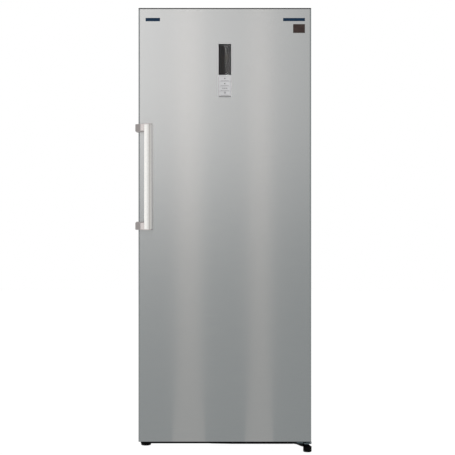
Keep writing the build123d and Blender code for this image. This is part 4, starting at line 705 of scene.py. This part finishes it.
def makeIcons(values, y):
    size, shares, layer = values["iconSize"], values["iconShares"], values["layer"]
    flake, drop, clock = values["iconHeights"]
    x, middle = values["iconX"], y + layer / 2
    pieces = []
    for turn in range(3):   # three crossed bars make a plain six-armed star
        bar = centredBox("starArm", 0, 0, size / 2, size / shares["arm"], y, y + layer)
        bar.rotation_euler = (0, turn * math.pi / 3, 0)
        bar.location = (x, 0, flake)
        bpy.ops.object.transform_apply()
        pieces.append(bar)
    pieces.append(startRod("dropIcon", (x, middle, drop), size / shares["drop"], layer, "Y", 24))
    pieces.append(makeRing(
        "ringIcon", (x, middle, clock), size / shares["ring"], size / shares["bore"], layer))
    settlePiece(joinPieces("displayIcons", pieces), "door", "smoked_glass", segmentLight)


def makeDisplay(values):
    makePane(values)
    makePaneBorder(values)
    makePaneRim(values)
    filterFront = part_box("display_window")[1].y + values["filterBehindPane"]
    makeFilter(values, filterFront)
    makeNumber(values, filterFront - values["lightsAhead"])
    makeIcons(values, filterFront - values["lightsAhead"])


makeDisplay(display)
print("display: pane, border, number and icons made")


# Keys: shallow dished caps with a stem, and a generic mark printed on each

keyCap = {
    "capDepth": 0.0038,
    "cornerRadius": 0.0015,
    "frontEdge": 0.0004,
    "dishInset": 0.0008,
    "dishDepth": 0.0002,
    "stemRadius": 0.0022,
    "stemOverlap": 0.001,
    "markThickness": 0.00012,
    "markLift": 0.00002,
    "marks": {"up": 0.0018, "down": 0.0012, "bar": 0.0018, "ring": 0.0034},   # each with its rise
    "markHeight": 0.0062,
    "markShares": {   # of the mark's height
        "triangle": 0.62, "barPitch": 1.25, "barHalfWidth": 0.45, "barHalfHeight": 0.22, "ring": 0.6,
        "bore": 0.32},
    "lineDrop": 0.0074,
    "lineHalfWidth": 0.0165,
    "lineHeight": 0.0009,
}


def makeMark(kind, centreZ, y, values):
    size, thickness, shares = values["markHeight"], values["markThickness"], values["markShares"]
    if kind == "ring":
        return makeRing("mark", (0, y, centreZ), size * shares["ring"], size * shares["bore"], thickness)
    if kind == "bar":
        halfX, halfZ, pitch = (size * shares[key] for key in ("barHalfWidth", "barHalfHeight", "barPitch"))
        return joinPieces("mark", [
            centredBox("mark", step * pitch, centreZ, halfX, halfZ, y - thickness / 2, y + thickness / 2)
            for step in (-1, 0, 1)])
    mark = startRod("mark", (0, 0, 0), size * shares["triangle"], thickness, "Z", 3)
    mark.rotation_euler = (math.pi / 2, 0 if kind == "up" else math.pi, 0)
    mark.location = (0, y, centreZ)
    bpy.ops.object.transform_apply()
    return mark


def makeKey(index, kind, rise, values):
    node = f"key_{index}"
    low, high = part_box(node)
    middleZ = (low.z + high.z) / 2
    cap = startBox(f"keyCap{index}", low, (high.x, low.y + values["capDepth"], high.z))
    roundEdges(cap, alongY, values["cornerRadius"], 4)
    bevelRound(cap, facingFront, values["frontEdge"])
    sinkFaces(cap, lambda centre, normal: normal.y < -flat, values["dishInset"], values["dishDepth"])
    stemLength = high.y - low.y - values["capDepth"] + values["stemOverlap"]
    stem = startRod("stem", (0, high.y - stemLength / 2, middleZ), values["stemRadius"], stemLength, "Y", 20)
    cap = joinPieces(f"keyCap{index}", [cap, stem])
    softenPiece(cap, angle=40)
    settlePiece(cap, node, "silver_plastic", silverPlastic, node)
    face = low.y + values["dishDepth"] - values["markLift"]
    mark = makeMark(kind, middleZ + rise, face, values)
    halfDepth, halfHeight = values["markThickness"] / 2, values["lineHeight"] / 2
    line = centredBox(
        "line", 0, middleZ - values["lineDrop"] + halfHeight, values["lineHalfWidth"], halfHeight,
        face - halfDepth, face + halfDepth)
    settlePiece(joinPieces(f"keyMark{index}", [mark, line]), node, "silver_plastic", padPrint)


for keyIndex, (keyMark, markRise) in enumerate(keyCap["marks"].items(), 1):
    makeKey(keyIndex, keyMark, markRise, keyCap)
print("keys: capped and marked")


# Small bare plates near the door's top corners

plates = {
    "cornerRadius": 0.0008,
    "edge": 0.0002,
    "thickness": 0.0008,
    "pieces": {   # film, then left, right, bottom and top in metres
        "plateLeft": (navyFilm, -0.3263, -0.2670, 1.7784, 1.7920),
        "plateRight": (navyFilm, 0.2398, 0.3296, 1.7790, 1.7916),
        "plateSquare": (brownFilm, 0.2810, 0.3296, 1.7303, 1.7665),
    },
}


def makePlates(values):
    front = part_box("door_plates")[0].y
    for name, (film, left, right, bottom, top) in values["pieces"].items():
        plate = startBox(name, (left, front, bottom), (right, front + values["thickness"], top))
        roundEdges(plate, alongY, values["cornerRadius"], 3)
        bevelRound(plate, facingFront, values["edge"])
        softenPiece(plate)
        settlePiece(plate, "door", "navy_plate", film, "door_plates")


makePlates(plates)
print("plates: made")


# Grey strip along the key panel's lower edge: painted shade, a dark line that stands in for the shadow under
# the panel

panelSeal = {
    "height": 0.0042,
    "halfWidth": 0.0245,
    "proud": 0.0005,
    "below": 0.0005,
    "overlap": 0.0002,
    "softEdge": 0.0003,
}


def makePaintedShadeStrip(values):
    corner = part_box("panel_bezel")[0]
    bottom = corner.z - values["below"]
    # a grey strip where the panel's lower edge casts its shadow: painted shade
    seal = startBox(
        "panelSeal", (-values["halfWidth"], corner.y - values["proud"], bottom),
        (values["halfWidth"], corner.y + values["overlap"], bottom + values["height"]))
    roundEdges(seal, lambda middle, way: abs(way.x) > aligned and middle.y < corner.y, values["softEdge"], 3)
    softenPiece(seal)
    settlePiece(seal, "door", "grey_rubber", paintedShadeGrey)


makePaintedShadeStrip(panelSeal)
print("panel seal: fitted")


# Door gasket: a base strip, a folded bellows and a bulb that holds the magnet

gasket = {
    "width": 0.018,
    "base": 0.0022,
    "neckInset": 0.0045,
    "neck": 0.0028,
    "bulbOutset": 0.0030,
    "soft": 0.0009,
}


def makeGasket(values):
    low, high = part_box("door_gasket")
    middle = (low + high) / 2
    clearSelection()
    bpy.ops.mesh.primitive_plane_add(
        size=1, location=(middle.x, low.y, middle.z), rotation=(-math.pi / 2, 0, 0))
    ring = bpy.context.object
    ring.name = "doorGasket"
    ring.scale = (high.x - low.x, high.z - low.z, 1)
    bpy.ops.object.transform_apply()
    pickFaces(ring, everyFace)
    bpy.ops.mesh.inset(thickness=values["width"])
    bpy.ops.mesh.delete(type="FACE")
    doneEditing()
    bulb = high.y - low.y - values["base"] - values["neck"]
    steps = [   # rise and inset of each step away from the door, where a negative inset goes outwards
        (values["base"], 0), (0, values["neckInset"]), (values["neck"], 0), (0, -values["bulbOutset"]),
        (bulb, 0)]
    pickFaces(ring, everyFace)
    for rise, inset in steps:
        if rise:
            extrudePicked(0, rise, 0)
        else:
            bpy.ops.mesh.inset(thickness=abs(inset), use_outset=inset < 0)
    doneEditing()
    softenPiece(ring, values["soft"], steps=3)
    settlePiece(ring, "door", "grey_rubber", gasketPvc, "door_gasket")


makeGasket(gasket)
print("gasket: made")


# Door bins and drawers: thin clear tubs with rims

binMould = {
    "count": 4,
    "wall": 0.0024,
    "corner": 0.014,
    "softEdge": 0.0007,
    "belt": (0.30, 0.36),   # shares of the bin's height
    "beltEdge": 0.0005,
    "beltDepth": 0.0006,
    "tabReach": 0.006,
    "tabOverlap": 0.0002,
    "tabStart": 0.0204,     # both measured from the bin's side at the door
    "tabEnd": 0.038,
    "tabHeight": 0.006,
    "lugShare": 0.6,        # the tabs rest this far up the bin, on the door liner's lugs
    "lugGap": 0.0004,
}

drawerMould = {
    "wall": 0.0024,
    "corner": 0.008,
    "softEdge": 0.0005,
    "lip": 0.013,
    "lipThickness": 0.0025,
    "lipOverlap": 0.0001,
    "lipFront": 0.034,
    "lipBack": 0.012,
    "slotHalfWidth": 0.080,
    "slotTopDrop": 0.022,
    "slotHeight": 0.024,
    "slotRound": 0.46,      # share of the slot's height
    "bands": 2,
    "bandDrop": 0.060,
    "bandHeight": 0.005,
    "bandPitch": 2.4,       # share of the band's height
    "bandMargin": 0.02,
    "bandDepth": 0.3,       # share of the wall
}


def hollowTub(piece, wall, depth):
    pickFaces(piece, lambda centre, normal: normal.z > aligned)
    bpy.ops.mesh.inset(thickness=wall)
    extrudePicked(0, 0, -depth)
    doneEditing()


def sideBlocks(name, inner, outer, front, back, bottom, top):   # one on each side, alike
    blocks = []
    for side in (-1, 1):
        left, right = sorted((side * inner, side * outer))
        blocks.append(startBox(name, (left, front, bottom), (right, back, top)))
    return blocks


def finishTub(name, node, body, extras, softEdge):
    for extra in extras:
        softenPiece(extra, softEdge)
    settlePiece(joinPieces(name, [body] + extras), node, "clear_plastic", styrene, node)


def makeBin(index, values):
    node = f"door_bin_{index}"
    low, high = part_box(node)
    height, reach = high.z - low.z, values["tabReach"]
    body = startBox(f"doorBin{index}", (low.x + reach, low.y, low.z), (high.x - reach, high.y, high.z))
    roundEdges(
        body, lambda middle, way: alongZ(middle, way) and middle.y > high.y - near, values["corner"], 6)
    beltLow, beltHigh = (low.z + height * share for share in values["belt"])
    for level in (beltLow, beltHigh):
        bisectPiece(body, (0, 0, level), (0, 0, 1), True)
    pickFaces(body, lambda centre, normal: beltLow < centre.z < beltHigh and centre.y > low.y + near)
    bpy.ops.mesh.inset(thickness=values["beltEdge"])
    bpy.ops.transform.shrink_fatten(value=-values["beltDepth"])
    doneEditing()
    hollowTub(body, values["wall"], height - values["wall"])
    softenPiece(body, values["softEdge"])
    tabBottom = low.z + height * values["lugShare"] + values["lugGap"]
    tabs = sideBlocks(
        "tab", high.x - reach - values["tabOverlap"], high.x, low.y + values["tabStart"],
        low.y + values["tabEnd"], tabBottom, tabBottom + values["tabHeight"])
    finishTub(f"doorBin{index}", node, body, tabs, values["softEdge"])


def makeDrawer(name, values):
    node = f"drawer_{name}"
    low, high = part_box(node)
    lip, wall = values["lip"], values["wall"]
    body = startBox(f"{name}Drawer", (low.x + lip, low.y, low.z), (high.x - lip, high.y, high.z))
    roundEdges(body, alongZ, values["corner"], 5)
    hollowTub(body, wall, high.z - low.z - wall)
    slotTop, slotHeight = high.z - values["slotTopDrop"], values["slotHeight"]
    slot = startBox(
        "slot", (-values["slotHalfWidth"], low.y - overcut, slotTop - slotHeight),
        (values["slotHalfWidth"], low.y + overcut, slotTop))
    roundEdges(slot, alongY, slotHeight * values["slotRound"], 6)
    cutOut(body, slot)
    softenPiece(body)
    extras = sideBlocks(
        "lip", high.x - lip - values["lipOverlap"], high.x, low.y + values["lipFront"],
        high.y - values["lipBack"], high.z - values["lipThickness"], high.z)
    margin, bandHeight = lip + values["bandMargin"], values["bandHeight"]
    for step in range(values["bands"]):   # seen through the clear front under the finger slot
        level = high.z - values["bandDrop"] - step * values["bandPitch"] * bandHeight
        extras.append(startBox(
            "band", (low.x + margin, low.y, level - bandHeight),
            (high.x - margin, low.y + wall * values["bandDepth"], level)))
    finishTub(f"{name}Drawer", node, body, extras, values["softEdge"])


for binIndex in range(1, binMould["count"] + 1):
    makeBin(binIndex, binMould)
for drawerName in ("lower", "upper"):
    makeDrawer(drawerName, drawerMould)
print("bins and drawers: moulded")


# Levelling feet: a fluted tread, a cone and the threaded stem

footMould = {
    "tread": 0.0165,
    "collar": {"left": 0.0, "right": 0.0005},
    "collarHeight": 0.0015,
    "shoulderSlope": 3,     # the shoulder's rise over how far the collar stands out
    "neck": {"left": 0.022, "right": 0.028},
    "neckWall": 0.002,
    "neckRise": 0.001,
    "stemRadius": 0.005,
    "flutes": 24,
    "fluteEdge": 0.0003,
    "fluteDepth": 0.0003,
    "bottomEdge": 0.0008,
    "threadPitch": 0.0016,
    "threadDepth": 0.0006,
}


def makeFoot(side, values):
    node = f"foot_{side}"
    low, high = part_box(node)
    centre = (low + high) / 2
    collar, neck, stem = values["collar"][side], values["neck"][side], values["stemRadius"]
    level, reach = values["tread"], (high.x - low.x) / 2 - collar
    foot = startRod(f"{side}Foot", (centre.x, centre.y, level / 2), reach, level, "Z", values["flutes"] * 2)
    roundEdges(foot, lambda middle, way: middle.z < near, values["bottomEdge"], 3)
    shoulder, outer = level + values["shoulderSlope"] * collar, reach + collar
    rings = [   # height and radius of each step up to the neck
        (shoulder, outer), (shoulder + values["collarHeight"], outer), (neck, stem + values["neckWall"])]
    pickFaces(foot, lambda middle, normal: normal.z > aligned)
    for height, width in rings:
        if height > level:
            extrudePicked(0, 0, height - level)
            bpy.ops.transform.resize(
                value=(width / reach, width / reach, 1), center_override=(centre.x, centre.y, height))
        level, reach = height, width
    bpy.ops.mesh.inset(thickness=values["neckWall"])
    extrudePicked(0, 0, values["neckRise"])
    doneEditing()
    step = math.pi / values["flutes"]

    def everyOther(middle, normal):   # every second face round the tread
        turn = math.atan2(middle.y - centre.y, middle.x - centre.x) / step - 0.5
        return values["bottomEdge"] < middle.z < values["tread"] and round(turn) % 2 == 0

    pickFaces(foot, everyOther)
    bpy.ops.mesh.inset(thickness=values["fluteEdge"], use_individual=True)
    bpy.ops.transform.shrink_fatten(value=-values["fluteDepth"])
    doneEditing()
    thread = startRod(
        "thread", (centre.x, centre.y, (neck + high.z) / 2), stem - values["threadDepth"], high.z - neck,
        "Z", 24)
    pitch = values["threadPitch"]
    crest = startRod("crest", (centre.x, centre.y, neck + pitch), stem, pitch / 2, "Z", 24)
    turns = int((high.z - neck) / pitch) - 1
    crests = [copyPiece(crest, (0, 0, turn * pitch)) for turn in range(1, turns)]
    foot = joinPieces(f"{side}Foot", [foot, thread, crest] + crests)
    softenPiece(foot, angle=40)
    settlePiece(foot, node, "black_plastic", blackPlastic, node)


for footSide in ("left", "right"):
    makeFoot(footSide, footMould)
print("feet: moulded")


# Rubber lip under the plinth, which also closes the gap between the plinth and the hinge

plinthRubber = {
    "width": 0.0080,
    "thickness": 0.0028,
    "softEdge": 0.0003,
    "lipStart": -0.060,   # from its tip here the lip drops to its full depth over the taper, to the right
    "lipTip": 0.0003,
    "lipTaper": 0.090,
    "lipDrop": 0.0018,
}


def makePlinthSeal(values):
    low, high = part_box("front_plinth")
    back, right = low.y + values["thickness"], high.x + values["width"]
    seal = startBox("plinthSeal", (high.x, low.y, low.z), (right, back, high.z))
    roundEdges(
        seal, lambda middle, way: alongY(middle, way) and middle.z > low.z + near, values["softEdge"], 2)
    lip = startBox("plinthLip", (values["lipStart"], low.y, low.z - values["lipDrop"]), (right, back, low.z))
    below = Vector((values["lipTip"] - values["lipDrop"], 0, -values["lipTaper"]))
    bisectPiece(lip, (values["lipStart"], 0, low.z - values["lipTip"]), below)
    seal = joinPieces("plinthSeal", [seal, lip])
    softenPiece(seal)
    settlePiece(seal, "cabinet", "black_plastic", blackPlastic)


makePlinthSeal(plinthRubber)
print("plinth seal: moulded")


# Rear panel: pressed sheet with long ribs, and its screws

rearSheet = {
    "edge": 0.055,
    "ribs": 4,
    "ribWidth": 0.060,
    "ribDepth": 0.0006,
    "ribSlope": 0.002,
    "screwInset": (0.015, 0.030),
    "screwRadius": 0.004,
    "screwHeight": 0.0005,
    "screwEdge": 0.0002,
    "socketInset": 0.0016,
    "socketDepth": 0.0003,
    "screwRows": 5,
}


def makeRearPanel(values):
    low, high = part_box("rear_panel")
    sheet = startBox("rearPanel", low, high)
    pitch = (high.x - low.x - 2 * values["edge"]) / values["ribs"]
    middles = [low.x + values["edge"] + pitch * (index + 0.5) for index in range(values["ribs"])]
    for middle in middles:
        for edge in (-1, 1):
            bisectPiece(sheet, (middle + edge * values["ribWidth"] / 2, 0, 0), (1, 0, 0), True)
    ribLow, ribHigh = low.z + values["edge"], high.z - values["edge"]
    for level in (ribLow, ribHigh):
        bisectPiece(sheet, (0, 0, level), (0, 0, 1), True)

    def onRib(centre, normal):
        offCentre = min(abs(centre.x - middle) for middle in middles)
        return normal.y > aligned and ribLow < centre.z < ribHigh and offCentre < near

    sinkFaces(sheet, onRib, values["ribSlope"], -values["ribDepth"], single=True)
    softenPiece(sheet, angle=5)
    settlePiece(sheet, "cabinet", "galvanised", galvanised, "rear_panel")


def makeRearScrews(values):
    low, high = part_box("rear_panel")
    insetX, insetZ = values["screwInset"]
    first = (low.x + insetX, high.y, low.z + insetZ)
    screw = startRod("screw", first, values["screwRadius"], 2 * values["screwHeight"], "Y", 24)
    bevelRound(screw, lambda centre, normal: normal.y > aligned, values["screwEdge"])
    sinkFaces(screw, lambda centre, normal: normal.y > flat, values["socketInset"], -values["socketDepth"])
    softenPiece(screw, angle=40)
    rise = (high.z - low.z - 2 * insetZ) / (values["screwRows"] - 1)
    places = [(shift, 0, row * rise) for shift in (0, -2 * first[0]) for row in range(values["screwRows"])]
    screws = [screw] + [copyPiece(screw, place) for place in places[1:]]
    settlePiece(joinPieces("rearScrews", screws), "cabinet", "galvanised", galvanised)


makeRearPanel(rearSheet)
makeRearScrews(rearSheet)
print("rear panel: pressed")


# Camera, floor and lights

studio = {
    "metresAcross": 1.873,     # width of the photograph at the door's front
    "distance": 4.0,
    "eyeHeight": 1.030,
    "photoCentre": (0.0109, 0.9293),
    "sensor": 36.0,
    "floorHalf": 7.0,
    "surround": 0.72,          # how brightly the room lights matt surfaces
    "floorWhite": 0.93,
    "floorGlow": 1.06,
    "floorColour": "#e6e6e6",
}


def placeCamera(values):
    clearSelection()
    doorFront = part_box("door_skin")[0].y
    centreX, centreZ = values["photoCentre"]
    bpy.ops.object.camera_add(
        location=(centreX, doorFront - values["distance"], values["eyeHeight"]), rotation=(math.pi / 2, 0, 0))
    camera = bpy.context.object
    camera.data.sensor_width = values["sensor"]
    camera.data.lens = values["sensor"] * values["distance"] / values["metresAcross"]
    camera.data.shift_y = (centreZ - values["eyeHeight"]) / values["metresAcross"]
    bpy.context.scene.camera = camera


def whiteForSight(tree):   # 1 where the eye, a reflection or clear plastic looks at the background
    path = addNode(tree, "ShaderNodeLightPath", {})
    seen = path.outputs["Is Camera Ray"]
    for kind in ("Is Transmission Ray", "Is Glossy Ray"):
        either = addNode(tree, "ShaderNodeMath", {0: seen, 1: path.outputs[kind]}, operation="MAXIMUM")
        seen = either.outputs[0]
    return seen


def makeFloor(values):
    clearSelection()
    bpy.ops.mesh.primitive_plane_add(size=2 * values["floorHalf"], location=(0, 0, 0))
    floor = bpy.context.object
    floor.name = "studioFloor"
    material = bpy.data.materials.new("paleStudioFloor")
    material.use_nodes = True
    tree = material.node_tree
    tree.nodes.clear()
    share = addNode(
        tree, "ShaderNodeMath", {0: whiteForSight(tree), 1: values["floorWhite"]}, operation="MULTIPLY")
    matt = addNode(tree, "ShaderNodeBsdfDiffuse", {"Color": linearColour(values["floorColour"])})
    white = addNode(tree, "ShaderNodeEmission", {"Color": (1, 1, 1, 1), "Strength": values["floorGlow"]})
    mix = addNode(tree, "ShaderNodeMixShader", {
        "Fac": share.outputs[0], 1: matt.outputs[0], 2: white.outputs[0]})
    addNode(tree, "ShaderNodeOutputMaterial", {"Surface": mix.outputs[0]})
    floor.data.materials.append(material)


def makeWorld(values):
    world = bpy.data.worlds.new("paleStudio")
    bpy.context.scene.world = world
    world.use_nodes = True
    tree = world.node_tree
    tree.nodes.clear()
    level = addNode(tree, "ShaderNodeMapRange", {
        "Value": whiteForSight(tree), "To Min": values["surround"], "To Max": 1.0})
    background = addNode(tree, "ShaderNodeBackground", {
        "Color": (1, 1, 1, 1), "Strength": level.outputs["Result"]})
    addNode(tree, "ShaderNodeOutputWorld", {"Surface": background.outputs[0]})


handlePieces = ["handleBar", "handle_brackets"]

lamps = {   # place, aim, width and height in metres, and brightness where 1 is white
    "frontPanel": {
        "place": (0, -4.75, 2.93), "aim": (0, 0, 2.93), "size": (3.4, 3.6), "bright": 3.1, "right": 0.07,
        "colour": "#fff4f1", "spare": ["handleBar", "displayPane"], "through": handlePieces},
    "stripLeft": {
        "place": (-0.307, -4.35, 1.4), "aim": (-0.307, 0, 1.4), "size": (0.205, 2.8), "bright": 0.54,
        "colour": "#ffe6d9", "through": handlePieces},
    "stripRight": {
        "place": (0.284, -4.35, 1.4), "aim": (0.284, 0, 1.4), "size": (0.17, 2.8), "bright": 0.56,
        "colour": "#ffe6d9", "through": handlePieces},
    "floorStripLeft": {
        "place": (-0.225, -2.3, 0.02), "aim": (-0.225, -2.3, 1.0), "size": (0.14, 4.0), "turn": -2.2,
        "bright": 0.28, "colour": "#ffe6d9"},
    "floorStripRight": {
        "place": (0.216, -2.3, 0.02), "aim": (0.216, -2.3, 1.0), "size": (0.12, 4.0), "turn": 2.2,
        "bright": 0.28, "colour": "#ffe6d9"},
    "sideBox": {
        "place": (-3.25, -3.37, 1.4), "aim": (-0.31, -0.37, 1.2), "size": (4.75, 3.0), "bright": 1.8,
        "right": 0.18, "spare": ["doorSkin"]},
    "rightBox": {
        "place": (3.4, -3.3, 1.4), "aim": (-0.3, -0.3, 1.2), "size": (2.8, 2.8), "bright": 0.36,
        "spare": ["doorSkin"]},
    "paneGlint": {
        "place": (0.0128, -4.33, 2.21), "aim": (0.0, -0.33, 1.62), "size": (0.0445, 0.5), "lean": 2.2,
        "bright": 27.0, "right": 0.3, "only": ["displayPane"]},
    "rearLeft": {"place": (-2.4, 3.4, 2.4), "aim": (0, 0, 1.0), "size": (1.6, 1.6), "bright": 1.0},
    "rearRight": {"place": (2.6, 2.8, 1.9), "aim": (0, 0, 0.9), "size": (1.6, 1.6), "bright": 0.9},
}


def gatherPieces(name, pieces, state):   # the pieces that a lamp is kept to, kept off or shines through
    group = bpy.data.collections.new(name)
    for index, piece in enumerate(pieces):
        group.objects.link(nodes.get(piece) or bpy.data.objects[piece])
        group.collection_objects[index].light_linking.link_state = state
    return group


def hangLamp(name, values):
    clearSelection()
    aim = Vector(values["aim"]) - Vector(values["place"])
    facing = aim.to_track_quat("-Z", "Y").to_matrix() if aim.x or aim.y else Matrix.Rotation(math.pi, 3, "X")
    turned = Matrix.Rotation(math.radians(values.get("turn", 0)), 3, "Z") @ facing @ Matrix.Rotation(
        math.radians(values.get("lean", 0)), 3, "Z")
    bpy.ops.object.light_add(type="AREA", location=values["place"], rotation=turned.to_euler())
    lamp = bpy.context.object
    lamp.name = name
    lamp.visible_camera = False
    light = lamp.data
    light.shape = "RECTANGLE"
    light.size, light.size_y = values["size"]
    light.energy = math.pi * values["size"][0] * values["size"][1] * values["bright"]
    light.color = linearColour(values.get("colour", "#ffffff"))[:3]
    linkings = [
        ("only", "receiver", "INCLUDE"), ("spare", "receiver", "EXCLUDE"), ("through", "blocker", "EXCLUDE")]
    for key, side, state in linkings:
        if key in values:
            pieces = gatherPieces(name + key.title(), values[key], state)
            setattr(lamp.light_linking, side + "_collection", pieces)
    if "right" in values:   # a panel that gets dimmer towards its right
        light.use_nodes = True
        tree = light.node_tree
        across = addNode(tree, "ShaderNodeSeparateXYZ", {
            "Vector": addNode(tree, "ShaderNodeNewGeometry", {}).outputs["Parametric"]})
        strength = addNode(tree, "ShaderNodeMapRange", {
            "Value": across.outputs["X"], "To Min": 1.0, "To Max": values["right"]})
        tree.links.new(strength.outputs["Result"], tree.nodes["Emission"].inputs["Strength"])


placeCamera(studio)
makeFloor(studio)
makeWorld(studio)
for lampName, lampValues in lamps.items():
    hangLamp(lampName, lampValues)
bpy.context.scene.view_settings.view_transform = "Standard"
print("studio: camera, floor and lamps placed")
